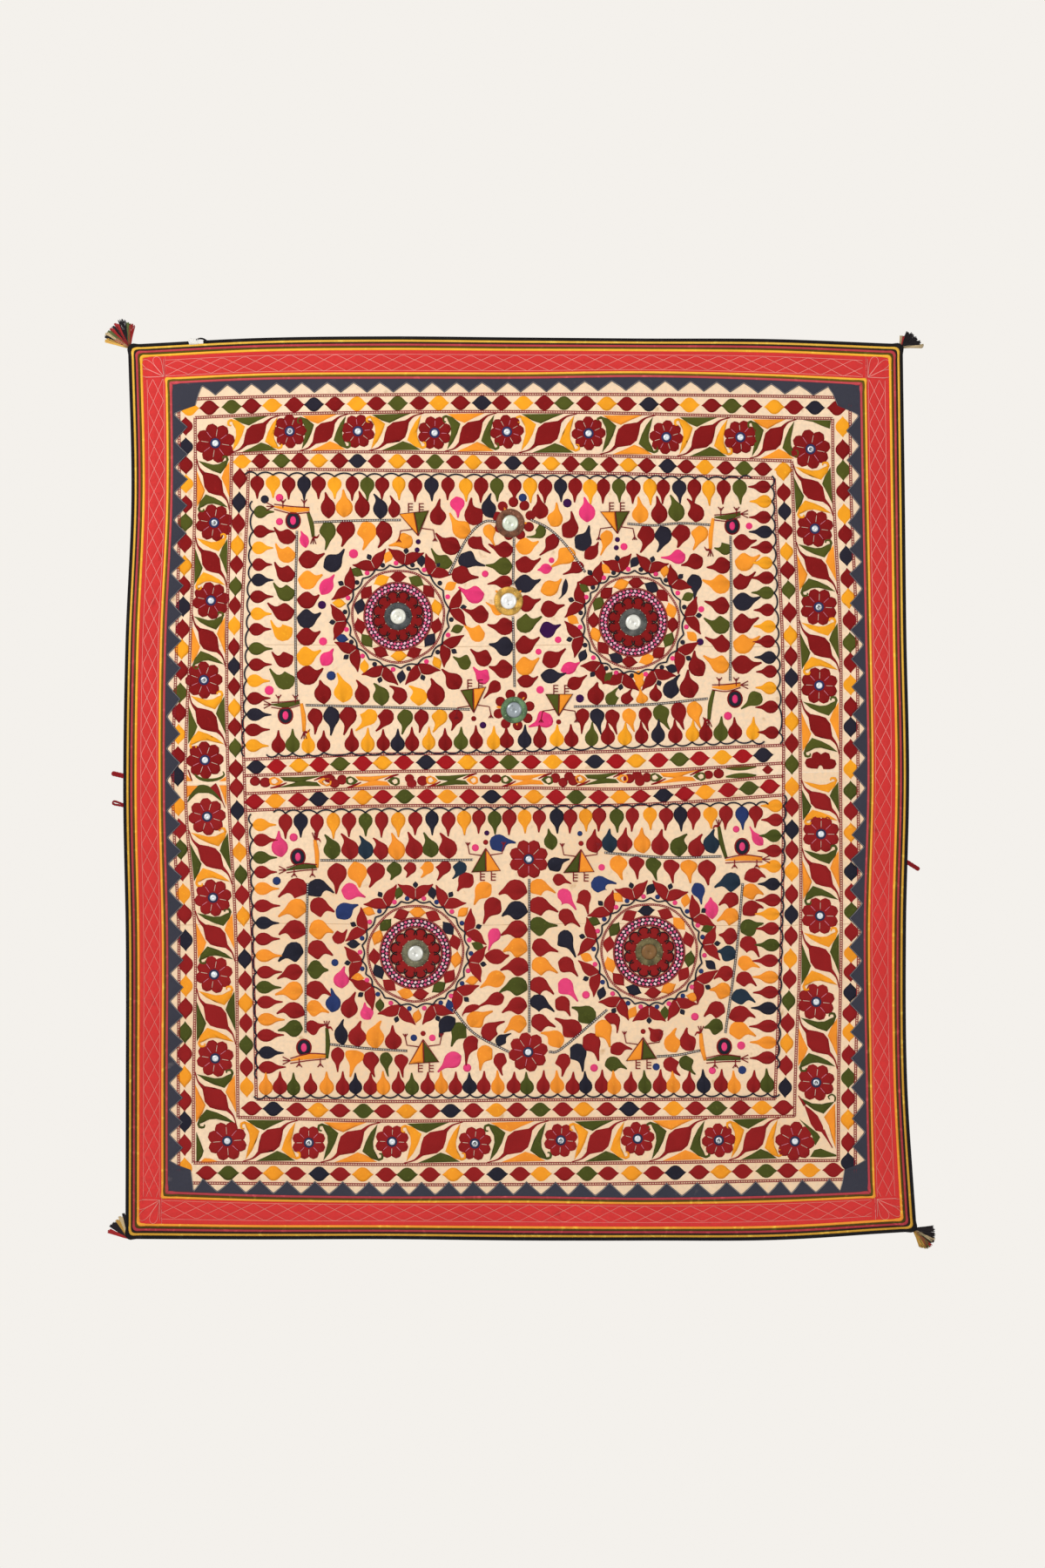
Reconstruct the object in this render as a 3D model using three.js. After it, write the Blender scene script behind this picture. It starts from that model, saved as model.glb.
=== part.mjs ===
// An embroidered cotton wall hanging, as it hangs by its top edge against a wall.
//
// Two lengths of embroidered cream cotton are seamed together and framed by a navy
// sawtooth applique, three narrow pipings, a quilted red border and six more pipings.
// Yarn tassels are sewn to the corners and cord loops to the sides, and seven large
// mirrors in metal rims are held on the cream cloth.
//
// Millimetres, +Z up. +X runs to the right as the front is seen, and the front faces -Y.
// The origin is the middle of the top edge, in the middle of the cloth's thickness.

import * as THREE from 'three';

// --- Driving dimensions -------------------------------------------------------------

const WIDTH = 1430; // outside the black piping
const HEIGHT = 1652;
const GAP = 0.3; // between pieces that are sewn to each other
const CORNER = { outside: 7, inside: 0.5 }; // corner radii of the outermost and innermost lines
const GRID_ACROSS = WIDTH / 12; // the hung shape is worked out on this grid
const GRID_DOWN = HEIGHT / 15;
const HALF = WIDTH / 2;

// How far each kind of piece lies behind (-) and in front (+) of the cloth's middle.
const DEPTH = {
  ground: { back: -1, front: 1 },
  sawtooth: { back: 1.3, front: 2.5 },
  quilted: { back: -1, front: 1.6 },
  piping: { back: -1, front: 2.2 },
  mirror: { back: 1.4 },
};

// The strips that frame the cloth, from the outside edge inwards.
const FRAME = [
  { name: 'piping_black', width: 4.0, colour: 0x26262a },
  { name: 'piping_gold', width: 4.0, colour: 0xd9b24a },
  { name: 'piping_dark', width: 3.2, colour: 0x3a2c22 },
  { name: 'piping_red', width: 4.0, colour: 0xb4474c },
  { name: 'piping_olive', width: 3.6, colour: 0x5e5420 },
  { name: 'piping_yellow', width: 4.0, colour: 0xf2b45c },
  { name: 'quilted', width: 40.7, colour: 0xda403c },
  { name: 'inner_yellow', width: 3.7, colour: 0xf5b25f },
  { name: 'inner_olive', width: 3.6, colour: 0x7a6124 },
  { name: 'inner_pink', width: 4.2, colour: 0xc2565c },
];
const FRAME_WIDTH = FRAME.reduce((sum, strip) => sum + strip.width, 0);
const QUILT_FROM = FRAME.slice(0, 6).reduce((sum, strip) => sum + strip.width, 0);
const QUILT_TO = QUILT_FROM + FRAME[6].width;

// The seam that joins the upper and lower cloths.
const SEAM = -810;

// The edges wander as old cloth does. Each row is a line of the cloth and how far it
// strays to +X (lines that run down) or up (lines that run across), at even steps.
const LINES_DOWN = [
  { at: -HALF, strays: [2, 8, -3, -7, -2, -2, -3] },
  { at: -HALF + FRAME_WIDTH, strays: [5, 7, -5, -7, -1, -2, -2] },
  { at: HALF - FRAME_WIDTH, strays: [-12, -7, -1, 3, -4, 0, 6] },
  { at: HALF, strays: [-9, -5, -2, 3, -3, -1, 17] },
];
const LINES_ACROSS = [
  { at: 0, strays: [-13, -1, 2, 0, -2, -3, -12] },
  { at: -FRAME_WIDTH, strays: [-12, -1, 1, 1, 4, -2, -14] },
  { at: SEAM, strays: [-9, -7, -4, 0, 5, 12, 18] },
  { at: -HEIGHT + FRAME_WIDTH, strays: [14, 5, 2, 3, 0, 4, 14] },
  { at: -HEIGHT, strays: [0, -1, 0, -2, -2, -1, 14] },
];

// The cloth swings off the wall in two shallow billows that grow towards its foot.
const BILLOW = 5;
const BILLOW_START = 0.12; // in turns, at the left edge
const BOW = 3; // forward and back again, from top to foot

// --- The hung shape -----------------------------------------------------------------

const mix = (a, b, t) => a + (b - a) * t;
const clamp01 = (t) => Math.min(1, Math.max(0, t));

// A smooth curve through evenly spaced values, for t from 0 to 1.
function curveThrough(values, t) {
  const last = values.length - 1;
  const place = clamp01(t) * last;
  const i = Math.min(Math.floor(place), last - 1);
  const f = place - i;
  const [b, c] = [values[i], values[i + 1]];
  const a = i > 0 ? values[i - 1] : 2 * b - c;
  const d = i + 2 <= last ? values[i + 2] : 2 * c - b;
  return 0.5 * (2 * b + (c - a) * f + (2 * a - 5 * b + 4 * c - d) * f * f
    + (3 * b - a - 3 * c + d) * f * f * f);
}

// A function of one coordinate, straight between the lines of a grid, so that pieces
// with different edges keep their gaps.
function straightBetween(step, f) {
  return (x) => {
    const start = Math.floor(x / step) * step;
    return mix(f(start), f(start + step), (x - start) / step);
  };
}

const across = (f) => straightBetween(GRID_ACROSS, (u) => f(clamp01((u + HALF) / WIDTH)));
const down = (f) => straightBetween(GRID_DOWN, (v) => f(clamp01(-v / HEIGHT)));

const strayRight = LINES_DOWN.map(({ at, strays }) => ({ at, f: down((t) => curveThrough(strays, t)) }));
const strayUp = LINES_ACROSS.map(({ at, strays }) => ({ at, f: across((s) => curveThrough(strays, s)) }));
const billowAcross = across((s) => Math.sin(2 * Math.PI * (s + BILLOW_START)));
const bowDown = down((t) => BOW * Math.sin(2 * Math.PI * t));

// How far a point strays, between the two lines that it lies between.
function strayAt(lines, place, along) {
  const rising = lines[0].at < lines[1].at;
  let k = 0;
  while (k < lines.length - 2 && (rising ? place > lines[k + 1].at : place < lines[k + 1].at)) k += 1;
  const [from, to] = [lines[k], lines[k + 1]];
  return mix(from.f(along), to.f(along), clamp01((place - from.at) / (to.at - from.at)));
}

function swing(u, v) {
  return BILLOW * clamp01(-v / HEIGHT) * billowAcross(u) + bowDown(v);
}

// Where a point of the flat cloth hangs: u to the right, v up, depth towards the front.
function hang(u, v, depth) {
  const x = u + strayAt(strayRight, u, v);
  const z = v + strayAt(strayUp, v, u);
  return new THREE.Vector3(x, swing(u, v) - depth, z);
}

// --- Solids -------------------------------------------------------------------------

// Turns a closed mesh right side out.
function outward(geometry) {
  const position = geometry.attributes.position;
  const index = geometry.index.array;
  const [a, b, c] = [new THREE.Vector3(), new THREE.Vector3(), new THREE.Vector3()];
  let volume = 0;
  for (let i = 0; i < index.length; i += 3) {
    a.fromBufferAttribute(position, index[i]);
    b.fromBufferAttribute(position, index[i + 1]);
    c.fromBufferAttribute(position, index[i + 2]);
    volume += a.dot(b.cross(c));
  }
  if (volume < 0) {
    for (let i = 0; i < index.length; i += 3) {
      [index[i + 1], index[i + 2]] = [index[i + 2], index[i + 1]];
    }
  }
  return geometry;
}

// A sheet of cloth over rows of flat points [u, v], hung, with its thickness.
function sheet(rows, { back, front }, loop = false) {
  const width = rows[0].length;
  const layer = rows.length * width;
  const positions = [front, back].flatMap(
    (depth) => rows.flatMap((row) => row.flatMap(([u, v]) => hang(u, v, depth).toArray())));
  const at = (i, j, side) => side * layer + (i % rows.length) * width + j;
  const index = [];
  const quad = (p, q, r, s) => index.push(p, q, r, p, r, s);
  const spans = loop ? rows.length : rows.length - 1;
  for (let i = 0; i < spans; i += 1) {
    for (let j = 0; j < width - 1; j += 1) {
      quad(at(i, j, 0), at(i, j + 1, 0), at(i + 1, j + 1, 0), at(i + 1, j, 0));
      quad(at(i, j, 1), at(i + 1, j, 1), at(i + 1, j + 1, 1), at(i, j + 1, 1));
    }
    quad(at(i, 0, 0), at(i + 1, 0, 0), at(i + 1, 0, 1), at(i, 0, 1));
    quad(at(i, width - 1, 0), at(i, width - 1, 1), at(i + 1, width - 1, 1), at(i + 1, width - 1, 0));
  }
  for (let j = 0; !loop && j < width - 1; j += 1) {
    quad(at(0, j, 0), at(0, j, 1), at(0, j + 1, 1), at(0, j + 1, 0));
    quad(at(spans, j, 0), at(spans, j + 1, 0), at(spans, j + 1, 1), at(spans, j, 1));
  }
  const geometry = new THREE.BufferGeometry();
  geometry.setAttribute('position', new THREE.Float32BufferAttribute(positions, 3));
  geometry.setIndex(index);
  return outward(geometry);
}

// Grid lines strictly between two places.
function linesBetween(step, from, to) {
  const [low, high] = [Math.min(from, to), Math.max(from, to)];
  const lines = [];
  for (let k = Math.ceil(low / step + 0.05); k * step < high - 0.05 * step; k += 1) lines.push(k * step);
  return from < to ? lines : lines.reverse();
}

const group = new THREE.Group();

function addMesh(name, geometry, colour, roughness = 0.95, metalness = 0) {
  const material = new THREE.MeshStandardMaterial({ color: colour, roughness, metalness });
  const mesh = new THREE.Mesh(geometry, material);
  mesh.name = name;
  group.add(mesh);
  return mesh;
}

// --- Pipings: closed rings at their distance in from the outside edge -----------------

// The radius of a line's corners, and how far the middle of the turn is pulled in.
function cornerAt(inset) {
  const r = mix(CORNER.outside, CORNER.inside, inset / FRAME_WIDTH);
  return { r, pull: r * (1 - Math.SQRT1_2) };
}

// The flat points of a line that runs round the cloth at one inset, clockwise from the
// top left, with rounded corners.
function roundLine(inset) {
  const [side, top, foot] = [HALF - inset, -inset, -HEIGHT + inset];
  const { r, pull } = cornerAt(inset);
  return [
    [-side, top - r], [-side + pull, top - pull], [-side + r, top],
    ...linesBetween(GRID_ACROSS, -side, side).map((u) => [u, top]),
    [side - r, top], [side - pull, top - pull], [side, top - r],
    ...linesBetween(GRID_DOWN, top, foot).map((v) => [side, v]),
    [side, foot + r], [side - pull, foot + pull], [side - r, foot],
    ...linesBetween(GRID_ACROSS, side, -side).map((u) => [u, foot]),
    [-side + r, foot], [-side + pull, foot + pull], [-side, foot + r],
    ...linesBetween(GRID_DOWN, foot, top).map((v) => [-side, v]),
  ];
}

let inset = 0;
for (const { name, width, colour } of FRAME) {
  if (name !== 'quilted') {
    const outer = roundLine(inset);
    const inner = roundLine(inset + width - GAP);
    addMesh(name, sheet(outer.map((point, i) => [point, inner[i]]), DEPTH.piping, true), colour);
  }
  inset += width;
}

// --- Quilted red border: full-height sides, with the top and foot between them --------

{
  const colour = FRAME[6].colour;
  const [outer, inner] = [HALF - QUILT_FROM, HALF - QUILT_TO + GAP];
  const [top, foot] = [-QUILT_FROM, -HEIGHT + QUILT_FROM];
  const { r, pull } = cornerAt(QUILT_FROM);
  const sideRows = [
    [outer - r, top], [outer - pull, top - pull], [outer, top - r],
    ...linesBetween(GRID_DOWN, top, foot).map((v) => [outer, v]),
    [outer, foot + r], [outer - pull, foot + pull], [outer - r, foot],
  ].map(([u, v]) => [[u, v], [inner, v]]);
  addMesh('quilted_right', sheet(sideRows, DEPTH.quilted), colour);
  addMesh('quilted_left', sheet(sideRows.map((row) => row.map(([u, v]) => [-u, v])), DEPTH.quilted), colour);

  const end = inner - GAP;
  const stations = [-end, ...linesBetween(GRID_ACROSS, -end, end), end];
  const bandRows = (near, far) => stations.map((u) => [[u, near], [u, far]]);
  addMesh('quilted_top', sheet(bandRows(top, -QUILT_TO + GAP), DEPTH.quilted), colour);
  addMesh('quilted_foot', sheet(bandRows(foot, -HEIGHT + QUILT_TO - GAP), DEPTH.quilted), colour);
}

// --- Embroidered ground: an upper and a lower cloth, seamed ---------------------------

{
  const side = HALF - FRAME_WIDTH;
  const columns = [-side, ...linesBetween(GRID_ACROSS, -side, side), side];
  const cloth = (top, foot) => [top, ...linesBetween(GRID_DOWN, top, foot), foot]
    .map((v) => columns.map((u) => [u, v]));
  addMesh('ground_upper', sheet(cloth(-FRAME_WIDTH, SEAM + GAP / 2), DEPTH.ground), 0xf6dfbd);
  addMesh('ground_lower',
    sheet(cloth(SEAM - GAP / 2, -HEIGHT + FRAME_WIDTH), DEPTH.ground), 0xecd2ab);
}

// --- Sawtooth applique: navy strips laid over the ground's edge ----------------------

// Each strip's teeth: how many, where the first and last point, and how far the notches
// and the points reach in from the pipings. The blocks fill the corners.
const BLOCK = 42;
const TEETH = [
  { name: 'sawtooth_top', count: 24, first: -560, last: 555, notch: 7.5, point: 25 },
  { name: 'sawtooth_foot', count: 24, first: -576, last: 570, notch: 4, point: 27 },
  { name: 'sawtooth_left', count: 28, first: -155, last: -1494, notch: 4.5, point: 28 },
  { name: 'sawtooth_right', count: 26, first: -163, last: -1494, notch: 4.5, point: 27 },
];
const UNEVEN = 2.5; // how far a hand-cut tooth strays along the strip

// Pairs [place along the strip, reach inwards] of the cut edge between two ends.
function cutEdge({ count, first, last, notch, point }, endReach, from, to) {
  const pitch = (last - first) / (count - 1);
  const edge = [[from, endReach]];
  for (let i = 0; i <= count; i += 1) {
    const tip = first + i * pitch + UNEVEN * Math.sin(2.4 * i);
    edge.push([tip - pitch / 2, notch]);
    if (i < count) edge.push([tip, point]);
  }
  edge.push([to, endReach]);
  return edge;
}

// Adds the grid lines that a cut edge crosses, so that its outer edge fits the pipings.
function withGrid(edge, step) {
  const out = [edge[0]];
  for (let i = 1; i < edge.length; i += 1) {
    const [[a, reachA], [b, reachB]] = [edge[i - 1], edge[i]];
    for (const line of linesBetween(step, a, b)) {
      out.push([line, mix(reachA, reachB, (line - a) / (b - a))]);
    }
    out.push(edge[i]);
  }
  return out;
}

{
  const colour = 0x3b3d4b;
  const side = HALF - FRAME_WIDTH;
  const [top, foot] = [-FRAME_WIDTH, -HEIGHT + FRAME_WIDTH];
  const [topTeeth, footTeeth, leftTeeth, rightTeeth] = TEETH;
  const blockCorner = side - BLOCK;
  for (const [teeth, edge, inwards] of [[topTeeth, top, -1], [footTeeth, foot, 1]]) {
    const cut = withGrid(cutEdge(teeth, BLOCK, -blockCorner, blockCorner), GRID_ACROSS);
    const all = [[-side, BLOCK], ...cut, [side, BLOCK]];
    const rows = all.map(([u, reach]) => [[u, edge], [u, edge + inwards * reach]]);
    addMesh(teeth.name, sheet(rows, DEPTH.sawtooth), colour);
  }
  for (const [teeth, edge, inwards] of [[leftTeeth, -side, 1], [rightTeeth, side, -1]]) {
    const cut = withGrid(cutEdge(teeth, BLOCK - GAP, top - BLOCK - GAP, foot + BLOCK + GAP), GRID_DOWN);
    const rows = cut.map(([v, reach]) => [[edge, v], [edge + inwards * reach, v]]);
    addMesh(teeth.name, sheet(rows, DEPTH.sawtooth), colour);
  }
}

// --- Large mirrors: a pressed metal rim over the edge of a round glass ----------------

const MIRRORS = [
  { x: -13, z: -339, rim: 26.7, glass: 14.9, metal: 0x9a6a3c, pane: 0xdfe6ea },
  { x: -16, z: -482, rim: 26.7, glass: 14.9, metal: 0xc9a04a, pane: 0xf4f6f6 },
  { x: -6, z: -682, rim: 24.5, glass: 14.4, metal: 0x5e7a5a, pane: 0x9aa3a8 },
  { x: -219, z: -510, rim: 25.6, glass: 14.4, metal: 0x6a6a66, pane: 0xe8ecee },
  { x: 213, z: -521, rim: 25.6, glass: 14.4, metal: 0x6a6a66, pane: 0xe8ecee },
  { x: -187, z: -1129, rim: 25.6, glass: 14.4, metal: 0x77745c, pane: 0xdde2e2 },
  { x: 242, z: -1126, rim: 25.6, glass: 14.4, metal: 0x6e6a4a, pane: 0x7c5a36 },
];
const GLASS_THICK = 1.2;
const RIM_FRONT = 2.6; // how far the rim's crown stands in front of the glass's back
const RIM_SEGMENTS = 20;
const LIP = 1.2; // how far the rim laps over the glass

// Lays a round solid, turned about Y with its front to -Y, on the cloth.
function layOnCloth(mesh, x, z) {
  const reach = 20;
  const tilt = (swing(x + reach, z) - swing(x - reach, z)) / (2 * reach);
  const nod = (swing(x, z + reach) - swing(x, z - reach)) / (2 * reach);
  const normal = new THREE.Vector3(tilt, -1, nod).normalize();
  mesh.quaternion.setFromUnitVectors(new THREE.Vector3(0, -1, 0), normal);
  mesh.position.set(x, swing(x, z) - DEPTH.mirror.back, z);
}

function turned(points) {
  const outline = points.map(([r, y]) => new THREE.Vector2(r, y));
  return new THREE.LatheGeometry(outline, RIM_SEGMENTS);
}

MIRRORS.forEach(({ x, z, rim, glass, metal, pane }, i) => {
  const paneRadius = glass + LIP;
  const seat = paneRadius + GAP;
  const over = GLASS_THICK + GAP;
  const rimMesh = addMesh(`mirror_rim_${i + 1}`, turned([
    [seat, 0], [seat, -over], [glass, -over], [glass, -over - 0.5],
    [mix(glass, rim, 0.45), -RIM_FRONT], [rim - 1.5, -1.4], [rim, 0], [seat, 0],
  ]), metal, 0.45, 0.8);
  layOnCloth(rimMesh, x, z);
  const paneMesh = addMesh(`mirror_pane_${i + 1}`, turned([
    [0, 0], [0, -GLASS_THICK], [paneRadius, -GLASS_THICK], [paneRadius, 0], [0, 0],
  ]), pane, 0.1, 0.6);
  layOnCloth(paneMesh, x, z);
});

// --- Corner tassels: flat fans of cut yarn -------------------------------------------

// Each tassel's neck is seated on a corner of the black piping, a little in from the
// middle of its turn, or behind the cloth. Its tufts fan out in order; angles are
// anticlockwise from +X in degrees, and lengths and widths are at the cut ends.
const TASSELS = [
  {
    name: 'tassel_top_left', right: -1, up: 1, seat: -1.2, back: -1.5, thick: 5, neck: 3,
    tufts: [
      { angle: 84, length: 42, width: 8 }, { angle: 106, length: 50, width: 12 },
      { angle: 124, length: 46, width: 6 }, { angle: 138, length: 46, width: 6 },
      { angle: 150, length: 49, width: 6 }, { angle: 162, length: 44, width: 6 },
    ],
  },
  {
    name: 'tassel_top_right', right: 1, up: 1, seat: -1.3, back: -1.5, thick: 6, neck: 3,
    tufts: [
      { angle: 6, length: 40, width: 5 }, { angle: 22, length: 33, width: 9 },
      { angle: 50, length: 31, width: 12 }, { angle: 76, length: 22, width: 8 },
    ],
  },
  {
    name: 'tassel_foot_left', right: -1, up: -1, seat: -1, back: -6.3, thick: 5, neck: 3,
    tufts: [
      { angle: 98, length: 43, width: 5 }, { angle: 116, length: 37, width: 8 },
      { angle: 132, length: 36, width: 5 }, { angle: 148, length: 38, width: 6 },
      { angle: 161, length: 33, width: 6 },
    ],
  },
  {
    name: 'tassel_foot_right', right: 1, up: -1, seat: -1.3, back: -1.5, thick: 6, neck: 3,
    tufts: [
      { angle: -68, length: 38, width: 7 }, { angle: -50, length: 46, width: 12 },
      { angle: -30, length: 46, width: 9 }, { angle: -14, length: 44, width: 7 },
      { angle: 2, length: 40, width: 10 },
    ],
  },
];
const NOTCH_REACH = 0.62; // the split between two tufts, as a share of their length

function tasselOutline({ neck, tufts }) {
  const polar = (degrees, r) => {
    const a = THREE.MathUtils.degToRad(degrees);
    return new THREE.Vector2(r * Math.cos(a), r * Math.sin(a));
  };
  const outline = [];
  const ends = { first: tufts[0].angle - 20, last: tufts[tufts.length - 1].angle + 20 };
  outline.push(polar(ends.first, neck));
  tufts.forEach(({ angle, length, width }, i) => {
    const half = THREE.MathUtils.radToDeg(Math.atan2(width / 2, length));
    outline.push(polar(angle - half, length), polar(angle + half, length));
    const next = tufts[i + 1];
    if (next) outline.push(polar((angle + next.angle) / 2, NOTCH_REACH * Math.min(length, next.length)));
  });
  outline.push(polar(ends.last, neck));
  return outline;
}

for (const tassel of TASSELS) {
  const shape = new THREE.Shape(tasselOutline(tassel));
  const geometry = new THREE.ExtrudeGeometry(shape, { depth: tassel.thick, bevelEnabled: false });
  geometry.rotateX(Math.PI / 2); // the outline stands in XZ, and its thickness runs to -Y
  const mesh = addMesh(tassel.name, geometry, 0x2a2a30);
  const { right, up, seat, back } = tassel;
  const { pull } = cornerAt(0);
  const corner = hang(right * (HALF - pull), up > 0 ? -pull : -HEIGHT + pull, back);
  mesh.position.set(corner.x + right * seat * Math.SQRT1_2, corner.y, corner.z + up * seat * Math.SQRT1_2);
}

// --- Cord loops at the sides, and the lifted end of the black piping -----------------

const CORD_SIDES = 8;

function cordAlong(points, diameter, steps) {
  const path = new THREE.CatmullRomCurve3(points, false, 'centripetal');
  const section = new THREE.Shape();
  for (let i = 0; i < CORD_SIDES; i += 1) {
    const a = (2 * Math.PI * i) / CORD_SIDES;
    const [x, y] = [Math.cos(a) * diameter / 2, Math.sin(a) * diameter / 2];
    if (i === 0) section.moveTo(x, y);
    else section.lineTo(x, y);
  }
  section.closePath();
  return new THREE.ExtrudeGeometry(section, { steps, extrudePath: path, curveSegments: 1 });
}

// A loop's two strands start side by side at the edge, on each side of (x, z), and run
// out at an angle. The eye is the space between them, and it widens towards the end.
const LOOPS = [
  { name: 'loop_left_upper', side: -1, x: -723.2, z: -804, angle: 167, length: 23, cord: 4.6, eye: 0.5 },
  { name: 'loop_left_lower', side: -1, x: -723, z: -858, angle: 165, length: 22, cord: 3.8, eye: 2.4 },
  { name: 'loop_right', side: 1, x: 717.2, z: -960, angle: -32, length: 26, cord: 4.0, eye: 0.4 },
];

for (const { name, side, x, z, angle, length, cord, eye } of LOOPS) {
  const out = THREE.MathUtils.degToRad(angle);
  const place = (along, beside) => new THREE.Vector3(
    x + along * Math.cos(out) - beside * Math.sin(out), 0,
    z + along * Math.sin(out) + beside * Math.cos(out));
  const near = (cord + 0.5) / 2;
  const wide = (cord + eye) / 2;
  const tip = length - cord / 2;
  const points = [
    place(0, near), place(0.3 * tip, near), place(tip - 1.6 * wide, wide), place(tip - 0.35 * wide, 0.8 * wide),
    place(tip, 0),
    place(tip - 0.35 * wide, -0.8 * wide), place(tip - 1.6 * wide, -wide), place(0.3 * tip, -near), place(0, -near),
  ];
  const mesh = addMesh(name, cordAlong(points, cord, 24), 0x9c2226);
  mesh.position.y = swing(side * HALF, z) - 0.6;
}

// A short stretch of the black piping has come away and arches above the top edge.
const LIFT = { from: -588, to: -571, rise: 7, diameter: 3 };
{
  const { from, to, rise, diameter } = LIFT;
  const foot = (u) => hang(u, 0, 0).z + 0.3 * diameter + GAP; // the slanted ends clear the piping
  const points = [
    new THREE.Vector3(from, 0, foot(from)),
    new THREE.Vector3(mix(from, to, 0.2), 0, foot(from) + 0.8 * rise),
    new THREE.Vector3(mix(from, to, 0.45), 0, foot(from) + rise),
    new THREE.Vector3(mix(from, to, 0.8), 0, foot(to) + 0.45 * rise),
    new THREE.Vector3(to, 0, foot(to)),
  ];
  const mesh = addMesh('piping_black_lift', cordAlong(points, diameter, 12), 0x26262a);
  mesh.position.y = -0.6;
}

export default group;
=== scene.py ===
import math

import bmesh
import bpy
from mathutils import Matrix, Vector, noise


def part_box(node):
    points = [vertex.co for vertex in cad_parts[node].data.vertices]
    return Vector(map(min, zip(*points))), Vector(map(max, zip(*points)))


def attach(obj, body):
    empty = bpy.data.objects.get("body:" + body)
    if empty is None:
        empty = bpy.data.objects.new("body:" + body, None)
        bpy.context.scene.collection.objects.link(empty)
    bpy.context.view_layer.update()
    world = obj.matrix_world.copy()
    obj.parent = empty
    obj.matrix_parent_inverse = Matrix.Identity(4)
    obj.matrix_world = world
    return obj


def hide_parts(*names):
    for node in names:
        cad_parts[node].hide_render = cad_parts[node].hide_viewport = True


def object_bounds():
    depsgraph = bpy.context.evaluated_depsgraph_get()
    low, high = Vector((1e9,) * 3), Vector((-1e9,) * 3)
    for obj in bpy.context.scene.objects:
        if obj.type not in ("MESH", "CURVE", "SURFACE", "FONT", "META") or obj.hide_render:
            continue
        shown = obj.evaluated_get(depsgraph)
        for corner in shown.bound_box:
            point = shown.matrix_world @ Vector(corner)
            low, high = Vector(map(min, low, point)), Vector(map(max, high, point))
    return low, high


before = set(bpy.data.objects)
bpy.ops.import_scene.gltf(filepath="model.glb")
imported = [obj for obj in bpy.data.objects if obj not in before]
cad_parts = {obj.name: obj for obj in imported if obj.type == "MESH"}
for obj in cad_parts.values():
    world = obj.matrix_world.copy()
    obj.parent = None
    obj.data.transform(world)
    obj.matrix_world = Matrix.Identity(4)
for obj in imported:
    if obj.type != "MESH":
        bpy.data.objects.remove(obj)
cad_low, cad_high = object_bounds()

# The room: a straight-on long lens, a plain pale floor far below the foot, and soft
# studio light. A large key light stands high on the left, and a weaker one on the right.

VIEW_DISTANCE = 8.0
VIEW_LENS = 100
BACKDROP = (0.905, 0.878, 0.838)
FLOOR_DROP = 1.32
middle = (cad_low + cad_high) / 2

camera = bpy.data.objects.new("camera", bpy.data.cameras.new("camera"))
camera.data.lens = VIEW_LENS
camera.location = (0.0096, middle.y - VIEW_DISTANCE, -0.818)
camera.rotation_euler = (math.radians(90), 0, 0)
bpy.context.collection.objects.link(camera)
bpy.context.scene.camera = camera


def soft_light(name, place, size, watts):
    data = bpy.data.lights.new(name, "AREA")
    data.shape = "DISK"
    data.size = size
    data.energy = watts
    light = bpy.data.objects.new(name, data)
    light.location = place
    light.rotation_euler = (middle - Vector(place)).to_track_quat("-Z", "Y").to_euler()
    bpy.context.collection.objects.link(light)


soft_light("key_light", (-2.6, -3.4, 1.5), 1.6, 132)
soft_light("fill_light", (3.2, -4.2, -0.6), 3.0, 56)

bpy.context.scene.view_settings.view_transform = "Standard"
world = bpy.data.worlds.new("studio")
world.use_nodes = True
bpy.context.scene.world = world
world_nodes = world.node_tree.nodes
world_links = world.node_tree.links
seen = world_nodes.new("ShaderNodeBackground")
seen.inputs["Color"].default_value = (*BACKDROP, 1)
around = world_nodes["Background"]
around.inputs["Color"].default_value = (0.98, 0.98, 1.0, 1)
around.inputs["Strength"].default_value = 0.57
either = world_nodes.new("ShaderNodeMixShader")
world_links.new(world_nodes.new("ShaderNodeLightPath").outputs["Is Camera Ray"], either.inputs[0])
world_links.new(around.outputs[0], either.inputs[1])
world_links.new(seen.outputs[0], either.inputs[2])
world_links.new(either.outputs[0], world_nodes["World Output"].inputs["Surface"])

floor_mesh = bmesh.new()
bmesh.ops.create_grid(floor_mesh, x_segments=1, y_segments=1, size=3.2)
bmesh.ops.translate(floor_mesh, verts=floor_mesh.verts, vec=(0, 0, cad_low.z - FLOOR_DROP))
floor_data = bpy.data.meshes.new("floor")
floor_mesh.to_mesh(floor_data)
floor = bpy.data.objects.new("floor", floor_data)
bpy.context.collection.objects.link(floor)
floor_paint = bpy.data.materials.new("pale_floor")
floor_paint.use_nodes = True
floor_paint.node_tree.nodes["Principled BSDF"].inputs["Base Color"].default_value = (*BACKDROP, 1)
floor_data.materials.append(floor_paint)

# The ground: two lengths of cream cotton, seamed across the middle, that carry all of the
# stitching. They hang in two shallow billows, drawn into fine puckers by the embroidery.

WIDTH = 1430  # all sizes are in millimetres, outside the black piping
HEIGHT = 1652
HALF = WIDTH / 2
FRAME_WIDTH = 75
SEAM = -810
GAP = 0.3
GROUND_FACE = 1.0
BILLOW = 5
BILLOW_START = 0.12
BOW = 3
PUCKER = 0.35

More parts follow.
